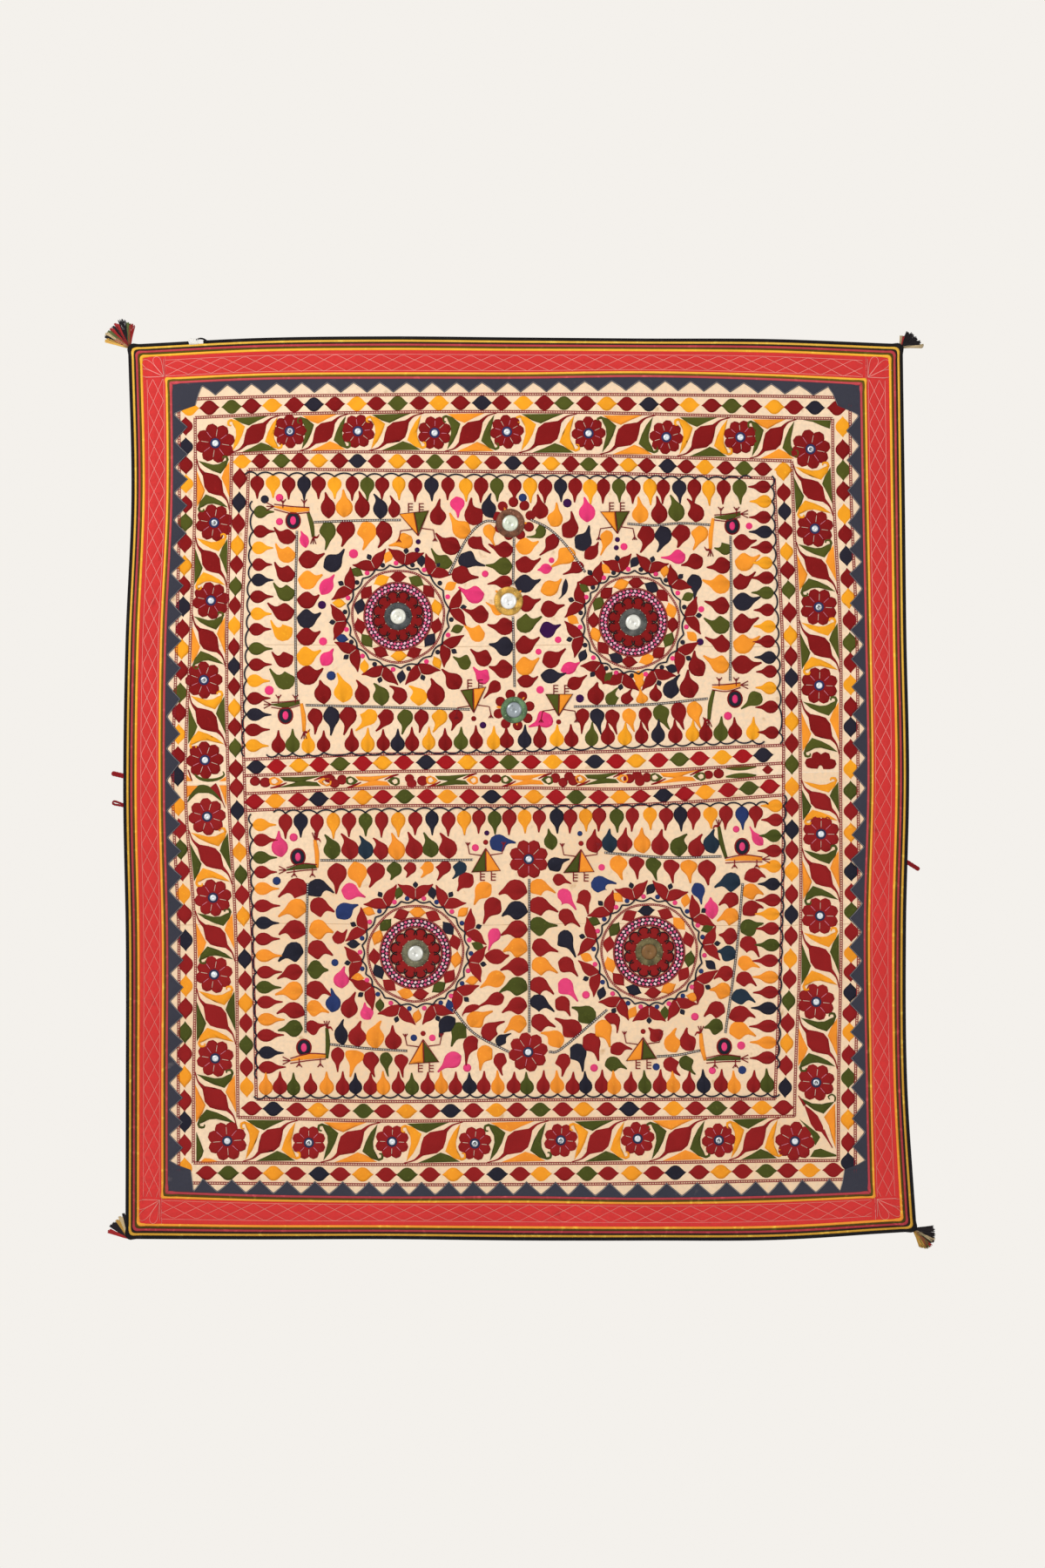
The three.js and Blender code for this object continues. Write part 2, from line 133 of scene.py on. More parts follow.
# How far each line strays from straight, at even steps along it.
EDGES_DOWN = [
    (-HALF, (2, 8, -3, -7, -2, -2, -3)),
    (-HALF + FRAME_WIDTH, (5, 7, -5, -7, -1, -2, -2)),
    (HALF - FRAME_WIDTH, (-12, -7, -1, 3, -4, 0, 6)),
    (HALF, (-9, -5, -2, 3, -3, -1, 17)),
]
EDGES_ACROSS = [
    (0, (-13, -1, 2, 0, -2, -3, -12)),
    (-FRAME_WIDTH, (-12, -1, 1, 1, 4, -2, -14)),
    (SEAM, (-9, -7, -4, 0, 5, 12, 18)),
    (-HEIGHT + FRAME_WIDTH, (14, 5, 2, 3, 0, 4, 14)),
    (-HEIGHT, (0, -1, 0, -2, -2, -1, 14)),
]


def mix(a, b, t):
    return a + (b - a) * t


def clamp(t):
    return min(1.0, max(0.0, t))


def curve_through(values, t):
    """A smooth curve through evenly spaced values, for t from 0 to 1."""
    last = len(values) - 1
    place = clamp(t) * last
    i = min(int(place), last - 1)
    f = place - i
    b, c = values[i], values[i + 1]
    a = values[i - 1] if i else 2 * b - c
    d = values[i + 2] if i + 2 <= last else 2 * c - b
    bend = (2 * a - 5 * b + 4 * c - d) * f * f + (3 * b - a - 3 * c + d) * f ** 3
    return 0.5 * (2 * b + (c - a) * f + bend)


def stray(lines, place, t):
    """How far a point strays, between the two lines that it lies between."""
    rising = lines[0][0] < lines[1][0]
    k = 0
    while k < len(lines) - 2 and (place > lines[k + 1][0]) == rising:
        k += 1
    (start, near), (end, far) = lines[k], lines[k + 1]
    share = clamp((place - start) / (end - start))
    return mix(curve_through(near, t), curve_through(far, t), share)


def swing(x, z):
    """How far the cloth stands off the wall's plane."""
    billow = BILLOW * clamp(-z / HEIGHT) * math.sin(2 * math.pi * ((x + HALF) / WIDTH + BILLOW_START))
    bow = BOW * math.sin(2 * math.pi * clamp(-z / HEIGHT))
    broad = noise.noise(Vector((x * 0.021, 3, z * 0.021)))
    fine = noise.noise(Vector((x * 0.06, 8, z * 0.06)))
    return billow + bow + PUCKER * (broad + 0.5 * fine)


def lie(x, z, depth):
    """A point on the hung cloth, in metres: x to the right, z up, depth towards the front."""
    return Vector((x, swing(x, z) - depth, z)) / 1000


def hang(u, v):
    """Where a point of the flat, straight design hangs, as (x, z)."""
    x = u + stray(EDGES_DOWN, u, -v / HEIGHT)
    z = v + stray(EDGES_ACROSS, v, (u + HALF) / WIDTH)
    return x, z


def linear(red, green, blue):
    """A colour of 0 to 255 as the shader takes it."""
    levels = []
    for c in (red, green, blue):
        levels.append(c / 255 / 12.92 if c < 11 else ((c / 255 + 0.055) / 1.055) ** 2.4)
    return (*levels, 1)


def new_paint(name, roughness, sheen):
    paint = bpy.data.materials.new(name)
    paint.use_nodes = True
    shader = paint.node_tree.nodes["Principled BSDF"]
    shader.inputs["Roughness"].default_value = roughness
    shader.inputs["Sheen Weight"].default_value = sheen
    shader.inputs["Specular IOR Level"].default_value = 0.12
    return paint, paint.node_tree, shader


def blend_colours(tree, share, low, high, kind="MIX"):
    """A colour between two, by a share that is a socket or a number. Colours are sockets or values."""
    blend = tree.nodes.new("ShaderNodeMix")
    blend.data_type = "RGBA"
    blend.blend_type = kind
    for slot, value in ((0, share), (6, low), (7, high)):
        if isinstance(value, bpy.types.NodeSocket):
            tree.links.new(value, blend.inputs[slot])
        else:
            blend.inputs[slot].default_value = value
    return blend.outputs[2]


def mottle(tree, coordinates, scale, low, high, detail=3):
    """Noise squeezed to 0 to 1 between two of its levels."""
    cloud = tree.nodes.new("ShaderNodeTexNoise")
    cloud.inputs["Scale"].default_value = scale
    cloud.inputs["Detail"].default_value = detail
    tree.links.new(coordinates, cloud.inputs["Vector"])
    squeeze = tree.nodes.new("ShaderNodeMapRange")
    squeeze.inputs["From Min"].default_value = low
    squeeze.inputs["From Max"].default_value = high
    tree.links.new(cloud.outputs["Fac"], squeeze.inputs["Value"])
    return squeeze.outputs["Result"]


def bands(tree, coordinates, direction, scale, distortion=0.0):
    wave = tree.nodes.new("ShaderNodeTexWave")
    wave.bands_direction = direction
    wave.inputs["Scale"].default_value = scale
    wave.inputs["Distortion"].default_value = distortion
    tree.links.new(coordinates, wave.inputs["Vector"])
    return wave.outputs["Fac"]


def raise_surface(tree, shader, height, distance):
    bump = tree.nodes.new("ShaderNodeBump")
    bump.inputs["Strength"].default_value = 0.8
    bump.inputs["Distance"].default_value = distance
    tree.links.new(height, bump.inputs["Height"])
    tree.links.new(bump.outputs["Normal"], shader.inputs["Normal"])


def add_heights(tree, first, second, share):
    """One height field laid over another, by a share."""
    sum_of = tree.nodes.new("ShaderNodeMath")
    sum_of.operation = "MULTIPLY_ADD"
    tree.links.new(second, sum_of.inputs[0])
    sum_of.inputs[1].default_value = share
    tree.links.new(first, sum_of.inputs[2])
    return sum_of.outputs[0]


def cloth_paint(name, colour, worn, soil, thread=0.9):
    """Plain woven cotton: threads both ways, slubs, fading in broad clouds and small soiled spots."""
    paint, tree, shader = new_paint(name, 0.9, 0.1)
    place = tree.nodes.new("ShaderNodeTexCoord").outputs["Object"]
    clouds = mottle(tree, place, 5.0, 0.32, 0.7)
    slubs = mottle(tree, place, 160, 0.35, 0.7)
    spots = mottle(tree, place, 34, 0.66, 0.8)
    warp = bands(tree, place, "X", 314 / thread, 0.6)
    weft = bands(tree, place, "Z", 314 / thread, 0.6)
    base = blend_colours(tree, clouds, linear(*colour), linear(*worn))
    base = blend_colours(tree, slubs, base, linear(*[0.93 * c for c in colour]))
    base = blend_colours(tree, spots, base, linear(*soil))
    tree.links.new(base, shader.inputs["Base Color"])
    weave = add_heights(tree, warp, weft, 1.0)
    weave = add_heights(tree, weave, slubs, 1.5)
    raise_surface(tree, shader, weave, 0.00018)
    return paint


def cloth_grid(across, down, place):
    """A sheet of squares, each corner put where place(s, t) says, s and t from 0 to 1."""
    bm = bmesh.new()
    bmesh.ops.create_grid(bm, x_segments=across, y_segments=down, size=0.5)
    for corner in bm.verts:
        corner.co = place(corner.co.x + 0.5, corner.co.y + 0.5)
    return bm


def crease(bm):
    """Turns the faces outwards and keeps the sheet's cut edges sharp."""
    bmesh.ops.recalc_face_normals(bm, faces=bm.faces)
    for edge in bm.edges:
        edge.smooth = edge.calc_face_angle(0) < 1.1


def extruded(bm, faces):
    """Extrudes faces, and gives the new corners and the new faces."""
    grown = bmesh.ops.extrude_face_region(bm, geom=faces)["geom"]
    kinds = bmesh.types.BMVert, bmesh.types.BMFace
    return [[item for item in grown if isinstance(item, kind)] for kind in kinds]


def thicken(bm, thickness):
    """Gives a sheet its thickness, away from the front."""
    back = extruded(bm, bm.faces[:])[0]
    bmesh.ops.translate(bm, verts=back, vec=(0, thickness / 1000, 0))
    crease(bm)


def piece_of(name, bm, paint, replaced=(), smooth=True):
    """A finished piece from its bmesh, that moves with the hanging."""
    mesh = bpy.data.meshes.new(name)
    bm.to_mesh(mesh)
    bm.free()
    if smooth:
        mesh.shade_smooth()
    mesh.materials.append(paint)
    piece = bpy.data.objects.new(name, mesh)
    bpy.context.collection.objects.link(piece)
    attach(piece, "root")
    if replaced:
        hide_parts(*replaced)
    return piece


CREAM_SPOTS = (196, 152, 104)
GROUND_CLOTHS = [
    ("ground_upper", -FRAME_WIDTH, SEAM + GAP / 2, "cream_cloth", (252, 224, 190), (248, 212, 172)),
    ("ground_lower", SEAM - GAP / 2, -HEIGHT + FRAME_WIDTH, "cream_cloth_aged",
     (250, 220, 184), (241, 203, 160)),
]
for node, top, foot, slot, cream, aged in GROUND_CLOTHS:
    side = HALF - FRAME_WIDTH
    cut = cloth_grid(116, 68, lambda s, t: lie(*hang(mix(-side, side, s), mix(foot, top, t)), GROUND_FACE))
    thicken(cut, 2 * GROUND_FACE)
    cotton = cloth_paint(f"{slot}_cotton", cream, aged, CREAM_SPOTS)
    cloth = piece_of(f"{node}_cloth", cut, cotton, [node])

# The sawtooth: navy cotton strips with hand-cut points, laid over the ground's edge, turned
# under and hemmed down with a pale running stitch just inside the cut edge.

NAVY_FACE = 2.5
NAVY_BACK = 1.3
BLOCK = 42
HEM_IN = 1.6
TEETH = [
    (
        "sawtooth_top", "top", (7.5, 25),
        (-560, -515, -470, -422, -376, -327, -278, -229, -179, -134, -88, -39, 8, 56, 103, 152, 204, 254,
         301, 349, 398, 450, 500, 553),
    ),
    (
        "sawtooth_foot", "foot", (4, 27),
        (-576, -523, -472, -422, -371, -320, -272, -222, -176, -126, -82, -32, 16, 69, 115, 168, 219, 272,
         328, 382, 435, 480, 520, 570),
    ),
    (
        "sawtooth_left", "left", (4.5, 28),
        (-155, -205, -251, -299, -350, -400, -446, -498, -547, -597, -654, -718, -771, -835, -885, -936,
         -984, -1037, -1090, -1141, -1192, -1246, -1294, -1346, -1400, -1446, -1494),
    ),
    (
        "sawtooth_right", "right", (4.5, 27),
        (-163, -219, -277, -338, -389, -435, -491, -542, -597, -650, -702, -757, -814, -869, -926, -971,
         -1026, -1078, -1130, -1182, -1234, -1285, -1333, -1386, -1443, -1494),
    ),
]


def side_spot(side_name, along, inset):
    """A point of the straight design, at an inset from the hanging's edge on one side."""
    spots = {
        "top": (along, -inset),
        "foot": (along, -HEIGHT + inset),
        "left": (inset - HALF, along),
        "right": (HALF - inset, along),
    }
    return spots[side_name]


def cut_edge(side_name, shape, points):
    """The hand-cut edge, as pairs of place along the strip and reach inwards."""
    notch, point = shape
    start = -(HALF - FRAME_WIDTH - BLOCK) if side_name in ("top", "foot") else -FRAME_WIDTH - BLOCK
    end = -start if side_name in ("top", "foot") else -HEIGHT + FRAME_WIDTH + BLOCK
    between = [(a + b) / 2 for a, b in zip(points, points[1:])]
    first = (start + points[0]) / 2 + (points[0] - points[1]) * 0.1
    last = (end + points[-1]) / 2 + (points[-1] - points[-2]) * 0.1
    edge = [(start, BLOCK), (mix(start, first, 0.5), mix(BLOCK, notch, 0.62))]
    for peak, tip in zip([first, *between], points):
        rest = 0.09 * abs(tip - peak) * math.copysign(1, tip - peak)
        edge += [(peak - rest, notch + 1.4), (peak, notch), (peak + rest, notch + 1.4)]
        edge += [(mix(peak, tip, 0.55), mix(notch, point, 0.5)), (tip, point)]
    edge += [(last, notch), (mix(last, end, 0.5), mix(notch, BLOCK, 0.38)), (end, BLOCK)]
    return edge


def along_edge(edge, t):
    """Place and reach at a share of the way through the edge's points."""
    place = clamp(t) * (len(edge) - 1)
    i = min(int(place), len(edge) - 2)
    return tuple(mix(a, b, place - i) for a, b in zip(edge[i], edge[i + 1]))


navy_cotton = cloth_paint("navy_cotton", (62, 62, 73), (52, 53, 63), (96, 90, 92), 0.7)
hem_lines = []
for node, side_name, shape, points in TEETH:
    edge = cut_edge(side_name, shape, points)
    if side_name in ("top", "foot"):
        edge = [(-(HALF - FRAME_WIDTH), BLOCK), *edge, (HALF - FRAME_WIDTH, BLOCK)]

    def place(s, t):
        spot, reach = along_edge(edge, s)
        inset = FRAME_WIDTH + reach * t
        return lie(*hang(*side_spot(side_name, spot, inset)), NAVY_FACE - 0.5 * (t > 0.99))

    cut = cloth_grid(2 * (len(edge) - 1), 3, place)
    thicken(cut, NAVY_FACE - NAVY_BACK)
    strip = piece_of(f"{node}_cloth", cut, navy_cotton, [node])
    length = abs(edge[-1][0] - edge[0][0]) / 1000
    mean = sum(abs(b[0] - a[0]) * (a[1] + b[1]) / 2 for a, b in zip(edge, edge[1:])) / 1e6
    hem = [side_spot(side_name, along, FRAME_WIDTH + reach - HEM_IN) for along, reach in edge[1:-1]]
    hem_lines.append([lie(*hang(u, v), NAVY_FACE + 0.25) for u, v in hem])


def tubes(name, lines, radius, closed=False, rounds=1, fuller=()):
    """Round threads or cords along lines of points, as one mesh. fuller is the girth at each point."""
    curve = bpy.data.curves.new(name, "CURVE")
    curve.dimensions = "3D"
    curve.bevel_depth = radius / 1000
    curve.bevel_resolution = rounds
    curve.use_fill_caps = True
    for points in lines:
        spline = curve.splines.new("POLY")
        spline.points.add(len(points) - 1)
        spline.points.foreach_set("co", [c for p in points for c in (*p, 1.0)])
        spline.use_cyclic_u = closed
        if fuller:
            spline.points.foreach_set("radius", fuller)
    maker = bpy.data.objects.new(f"{name}_line", curve)
    bpy.context.collection.objects.link(maker)
    drawn = maker.evaluated_get(bpy.context.evaluated_depsgraph_get())
    bm = bmesh.new()
    bm.from_mesh(drawn.to_mesh())
    drawn.to_mesh_clear()
    bpy.data.objects.remove(maker)
    bpy.data.curves.remove(curve)
    bmesh.ops.remove_doubles(bm, verts=bm.verts, dist=0.00002)
    bmesh.ops.recalc_face_normals(bm, faces=bm.faces)
    return bm


def shade_down(tree, place, upper, lower, start, end):
    """One colour above a height, another below a second height, blended between the two."""
    split = tree.nodes.new("ShaderNodeSeparateXYZ")
    tree.links.new(place, split.inputs[0])
    lowness = tree.nodes.new("ShaderNodeMapRange")
    lowness.inputs["From Min"].default_value = start / 1000
    lowness.inputs["From Max"].default_value = end / 1000
    tree.links.new(split.outputs["Z"], lowness.inputs["Value"])
    return blend_colours(tree, lowness.outputs["Result"], linear(*upper), linear(*lower))


def yarn_paint(name, upper, lower=None, twist=420, shine=0.45):
    """Dyed cotton thread: fine twisted strands, and a shade that alters at the seam."""
    paint, tree, shader = new_paint(name, 1 - shine, 0.04)
    place = tree.nodes.new("ShaderNodeTexCoord").outputs["Object"]
    base = shade_down(tree, place, upper, lower or upper, SEAM + 12, SEAM - 12)
    shades = mottle(tree, place, 26, 0.3, 0.72)
    base = blend_colours(tree, shades, base, (0.80, 0.78, 0.78, 1), "MULTIPLY")
    strands = bands(tree, place, "DIAGONAL", twist, 2.5)
    fibre = mottle(tree, place, 700, 0.3, 0.7)
    tree.links.new(base, shader.inputs["Base Color"])
    raise_surface(tree, shader, add_heights(tree, strands, fibre, 0.6), 0.0002)
    return paint


# Each of the two cloths has a join of its own between loom widths, sewn flat in ecru thread.
JOINS = (-564, -1076)
JOIN_HALF = 640
JOIN_STEP = 16
join_lines = [
    [lie(x, z + 2 * math.sin(x / 90), GROUND_FACE) for x in range(-JOIN_HALF, JOIN_HALF + 1, JOIN_STEP)]
    for z in JOINS
]
pale_thread = yarn_paint("pale_grey_thread", (150, 146, 146))
join_thread = yarn_paint("ecru_thread", (206, 170, 128))
piece_of("ground_join_stitches", tubes("joins", join_lines, 0.4, rounds=0), join_thread)
piece_of("sawtooth_hem_stitches", tubes("hems", hem_lines, 0.45, rounds=0), pale_thread)

# The pipings: nine narrow rolls of cotton over cord, sewn side by side, six round the outside
# of the quilted border and three inside it. Each turns the corners in a short bend.

CORNER_OUTSIDE = 7
CORNER_INSIDE = 0.5
PIPINGS = [
    ("piping_black", -1.7, 5.7, "black_piping", (26, 23, 24), (24, 22, 24)),
    ("piping_gold", 4.0, 4.0, "gold_piping", (234, 184, 70), (206, 156, 56)),
    ("piping_dark", 8.0, 3.2, "dark_piping", (46, 36, 26), (40, 32, 26)),
    ("piping_red", 11.2, 4.0, "red_piping", (186, 66, 72), (168, 58, 66)),
    ("piping_olive", 15.2, 3.6, "olive_piping", (84, 72, 20), (74, 62, 22)),
    ("piping_yellow", 18.8, 4.0, "yellow_piping", (250, 184, 58), (238, 154, 54)),
    ("inner_yellow", 63.5, 3.7, "yellow_piping", (248, 186, 62), (238, 160, 56)),
    ("inner_olive", 67.2, 3.6, "olive_piping", (100, 84, 24), (84, 70, 24)),
    ("inner_pink", 70.8, 4.2, "red_piping", (198, 76, 82), (180, 66, 74)),
]
PIPING_MIDDLE = 0.6
PIPING_STEP = 9
BREAK = (-603, -588)
BULGE = 0.5  # how far each soft roll swells past its seams, against its neighbours
CORNER_SIZE = 12
CORNER_GIRTH = 1.5  # the cloth is bunched at the corners
DARKENING_BETWEEN = (-500, -1200)  # the heights that the lower, duller colours set in between


def spaced(start, end, step):
    count = max(1, round(abs(end - start) / step))
    return [mix(start, end, i / count) for i in range(count)]


def round_line(inset):
    """The flat line that runs round the cloth at one inset, clockwise from the top left."""
    r = mix(CORNER_OUTSIDE, CORNER_INSIDE, max(0, inset) / FRAME_WIDTH)
    side, top, foot = HALF - inset, -inset, -HEIGHT + inset
    corners = [
        (side - r, top - r, 90), (side - r, foot + r, 0),
        (-side + r, foot + r, -90), (-side + r, top - r, 180),
    ]
    runs = [
        [(u, top) for u in spaced(-side + r, side - r, PIPING_STEP)],
        [(side, v) for v in spaced(top - r, foot + r, PIPING_STEP)],
        [(u, foot) for u in spaced(side - r, -side + r, PIPING_STEP)],
        [(-side, v) for v in spaced(foot + r, top - r, PIPING_STEP)],
    ]
    line = []
    for run, (cx, cz, start) in zip(runs, corners):
        line += run
        for turn in (0, 22.5, 45, 67.5):
            angle = math.radians(start - turn)
            line.append((cx + r * math.cos(angle), cz + r * math.sin(angle)))
    return line


def bias_paint(name, upper, lower):
    """Tightly rolled cotton: a slanting weave, pale specks of painted sheen and rubbed wear, uneven fading,
    darker lower down.
    """
    paint, tree, shader = new_paint(name, 0.85, 0.0)
    place = tree.nodes.new("ShaderNodeTexCoord").outputs["Object"]
    base = shade_down(tree, place, upper, lower, *DARKENING_BETWEEN)
    fading = mottle(tree, place, 14, 0.3, 0.75)
    base = blend_colours(tree, fading, base, (0.86, 0.82, 0.80, 1), "MULTIPLY")
    # Pale specks in a lighter colour: painted sheen on the rolls, as well as rubbed wear.
    rubbed_and_sheen = mottle(tree, place, 90, 0.58, 0.85)
    pale = linear(*[min(255, c * 1.12 + 14) for c in upper])
    base = blend_colours(tree, rubbed_and_sheen, base, pale)
    weave = bands(tree, place, "DIAGONAL", 260, 0.8)
    gathers = mottle(tree, place, 120, 0.3, 0.7)
    tree.links.new(base, shader.inputs["Base Color"])
    raise_surface(tree, shader, add_heights(tree, weave, gathers, 2.2), 0.0003)
    return paint


for node, inset, width, slot, upper, lower in PIPINGS:
    flat_line = round_line(inset + (width - GAP) / 2)
    whole = node != "piping_black"
    if not whole:
        after = next(i for i, (u, v) in enumerate(flat_line) if u > BREAK[1])
        before = next(i for i, (u, v) in enumerate(flat_line) if u > BREAK[0])
        flat_line = flat_line[after:] + flat_line[:before]
    path = [lie(*hang(u, v), PIPING_MIDDLE) for u, v in flat_line]
    clear = max(inset, 0) + CORNER_SIZE
    girths = []
    for u, v in flat_line:
        at_corner = abs(u) > HALF - clear and abs(v + HEIGHT / 2) > HEIGHT / 2 - clear
        girths.append(CORNER_GIRTH if at_corner else 1.0)
    rolled = tubes(node, [path], width / 2 + BULGE, closed=whole, rounds=3, fuller=girths)
    paint = bias_paint(f"{node}_bias", upper, lower)
    piece_of(f"{node}_roll", rolled, paint, [node])

# Where the black piping has parted near the top left, its end is lifted in a small arch,
# and the cotton cord inside it is frayed to white threads.

LIFT_FROM, LIFT_TO, LIFT_RISE = -594, -571, 8
LIFT_RADIUS = 1.7
FRAY_FROM = -607
FRAYED_THREADS = 34
arch = []
for i in range(9):
    t = i / 8
    x, z = hang(mix(LIFT_FROM, LIFT_TO, t), -2)
    arch.append(lie(x, z + LIFT_RISE * math.sin(math.pi * (0.25 + 0.75 * t)), 1.6))
black_bias = bpy.data.materials["piping_black_bias"]
lifted = tubes("lift", [arch], LIFT_RADIUS, rounds=3)
lift = piece_of("piping_black_lifted_end", lifted, black_bias, ["piping_black_lift"])
frayed = []
for i in range(FRAYED_THREADS):
    x, z = hang(FRAY_FROM + 0.5 * i, -2.4)
    lean = 4.5 * math.sin(i * 2.1)
    rise = 8 + 4 * math.sin(i * 1.3)
    frayed.append([
        lie(x + lean * t, z - 2 + rise * t, 2.6 + 1.6 * math.sin(3 * t)) for t in (0, 0.35, 0.7, 1)
    ])
white_yarn = yarn_paint("white_thread_ends", (240, 236, 228), (228, 216, 200))
piece_of("piping_black_frayed_core", tubes("fray", frayed, 0.5, rounds=0), white_yarn)

# The quilted border: padded red cotton in four pieces, the sides full height. It is sewn
# through in a lattice of crossing zigzags between two guide lines, and in each corner
# square in a fan of petals that springs from the inner corner.

QUILT_FROM = 22.8
QUILT_TO = 63.5
QUILT_FACE = 1.0
QUILT_BACK = -1.0
QUILT_PUFF = 1.1
GUIDE_IN = 7.5
GUIDE_OUT = 37.0
ZIGZAGS = 3
ZIGZAG_PERIOD = 42
quilt_width = QUILT_TO - QUILT_FROM
QUILTS = [
    ("quilted_left", "left", (-QUILT_FROM, -HEIGHT + QUILT_FROM)),
    ("quilted_right", "right", (-QUILT_FROM, -HEIGHT + QUILT_FROM)),
    ("quilted_top", "top", (-(HALF - QUILT_TO), HALF - QUILT_TO)),
    ("quilted_foot", "foot", (-(HALF - QUILT_TO), HALF - QUILT_TO)),
]


def zigzag(along, k):
    """Where the k-th zigzag lies across the border, between the guide lines."""
    turn = ((along / ZIGZAG_PERIOD + k) / ZIGZAGS) % 1
    wobble = 0.9 * math.sin(along * 0.037 + 2 * k)
    return mix(GUIDE_IN, GUIDE_OUT, 1 - abs(2 * turn - 1)) + wobble


def in_corner(side_name, along):
    return side_name in ("left", "right") and not -HEIGHT + QUILT_TO < along < -QUILT_TO


def puff(side_name, along, across):
    """How far the padding stands out, drawn down along each line of stitches."""
    lines = [GUIDE_IN, GUIDE_OUT, -1, quilt_width + 1]
    if not in_corner(side_name, along):
        lines += [zigzag(along, k) for k in range(ZIGZAGS)]
    nearest = min(abs(across - line) for line in lines)
    return QUILT_PUFF * (1 - math.exp(-((nearest / 3.2) ** 2)))


red_quilting = cloth_paint("red_quilted_cotton", (222, 58, 56), (206, 50, 48), (176, 40, 40), 0.7)
quilt_lines = []
for node, side_name, (start, end) in QUILTS:
    length = abs(end - start)

    def place(s, t):
        along, across = mix(start, end, s), (quilt_width - GAP) * t
        depth = QUILT_FACE + puff(side_name, along, across)
        return lie(*hang(*side_spot(side_name, along, QUILT_FROM + across)), depth)

    cut = cloth_grid(round(length / 3.2), 20, place)
    for corner in extruded(cut, cut.faces[:])[0]:
        corner.co.y = (swing(corner.co.x * 1000, corner.co.z * 1000) - QUILT_BACK) / 1000
    crease(cut)
    band = piece_of(f"{node}_cotton", cut, red_quilting, [node])
    inner = [a for a in spaced(start, end, 6) if not in_corner(side_name, a)]
    ways = [[zigzag(a, k) for a in inner] for k in range(ZIGZAGS)]
    for way in [*ways, [GUIDE_IN] * len(inner), [GUIDE_OUT] * len(inner)]:
        spots = [side_spot(side_name, a, QUILT_FROM + across) for a, across in zip(inner, way)]
        quilt_lines.append([lie(*hang(*spot), QUILT_FACE + 0.25) for spot in spots])

FAN = ((112, 40), (140, 49), (166, 46))  # each petal's angle and length
for right in (-1, 1):
    for up, edge in ((1, -QUILT_TO + 3), (-1, -HEIGHT + QUILT_TO - 3)):
        x0, z0 = right * (HALF - QUILT_TO + 3), edge
        for angle, long in FAN:
            loop = []
            for i in range(17):
                t = i / 16
                swell = 7.0 * math.sin(2 * math.pi * t)
                out = long * math.sin(math.pi * t) ** 0.8
                a = math.radians(angle)
                du = -(math.cos(a) * out - math.sin(a) * swell)
                dv = math.sin(a) * out + math.cos(a) * swell
                loop.append((x0 + right * du, z0 + up * dv))
            quilt_lines.append([lie(*hang(u, v), QUILT_FACE + QUILT_PUFF) for u, v in loop])
        square = [(0, 0), (quilt_width - 8, 0)], [(0, 0), (0, quilt_width - 8)]
        for (u0, v0), (u1, v1) in square:
            ends = [(x0 + right * mix(u0, u1, t / 6), z0 + up * mix(v0, v1, t / 6)) for t in range(7)]
            quilt_lines.append([lie(*hang(u, v), QUILT_FACE + QUILT_PUFF) for u, v in ends])
quilt_thread = yarn_paint("quilting_thread", (250, 168, 158), (236, 148, 136))
quilting = tubes("quilting", quilt_lines, 0.4, rounds=0)
piece_of("quilting_stitches", quilting, quilt_thread)

# The tassels: flat fans of cut yarn in bundles of several colours, bound at the neck and
# sewn to the corners. Each bundle is many strands that part towards their cut ends.

BLACK, YELLOW, RED, CREAM, GREEN, GOLD = "black", "yellow", "red", "cream", "green", "gold"
YARNS = {
    BLACK: (40, 34, 36), YELLOW: (238, 190, 96), RED: (170, 44, 44),
    CREAM: (204, 182, 140), GREEN: (96, 108, 60), GOLD: (190, 148, 70),
}
# Each bundle: angle from the right in degrees, length, spread of the cut end, colour.
TASSELS = [
    ("tassel_top_left", -713, -16, -3.0, [
        (84, 40, 9, RED), (92, 42, 5, GREEN), (106, 49, 10, BLACK), (119, 47, 4, RED),
        (126, 45, 5, BLACK), (133, 45, 4, RED), (141, 45, 5, GREEN), (148, 46, 5, CREAM),
        (155, 46, 4, BLACK), (163, 43, 6, YELLOW), (150, 28, 6, RED),
    ]),
    ("tassel_top_right", 704, -16, -3.0, [
        (4, 40, 4, CREAM), (14, 35, 6, BLACK), (28, 32, 7, BLACK), (46, 31, 8, BLACK), (62, 29, 6, BLACK),
        (74, 20, 3, RED), (84, 20, 5, CREAM),
    ]),
    ("tassel_foot_left", -715, -1652, 6.3, [
        (99, 42, 5, BLACK), (110, 39, 5, CREAM), (121, 36, 5, GOLD), (133, 36, 5, BLACK), (143, 37, 5, BLACK),
        (160, 36, 6, RED),
    ]),
    ("tassel_foot_right", 728, -1636, -3.0, [
        (-66, 34, 4, GOLD), (-59, 37, 5, GOLD), (-53, 40, 7, GREEN), (-46, 41, 7, RED), (-38, 37, 8, GREEN),
        (-29, 40, 6, CREAM), (-20, 38, 8, BLACK), (-8, 36, 9, BLACK), (3, 34, 8, BLACK), (-34, 40, 4, BLACK),
    ]),
]
STRANDS = 22
STRAND_RADIUS = 0.62
TASSEL_STRAY = 0.004  # metres that a strand may stand out from its tassel's box
yarn_paints = {
    key: yarn_paint(f"{key}_tassel_yarn", shade, twist=500, shine=0.25) for key, shade in YARNS.items()
}
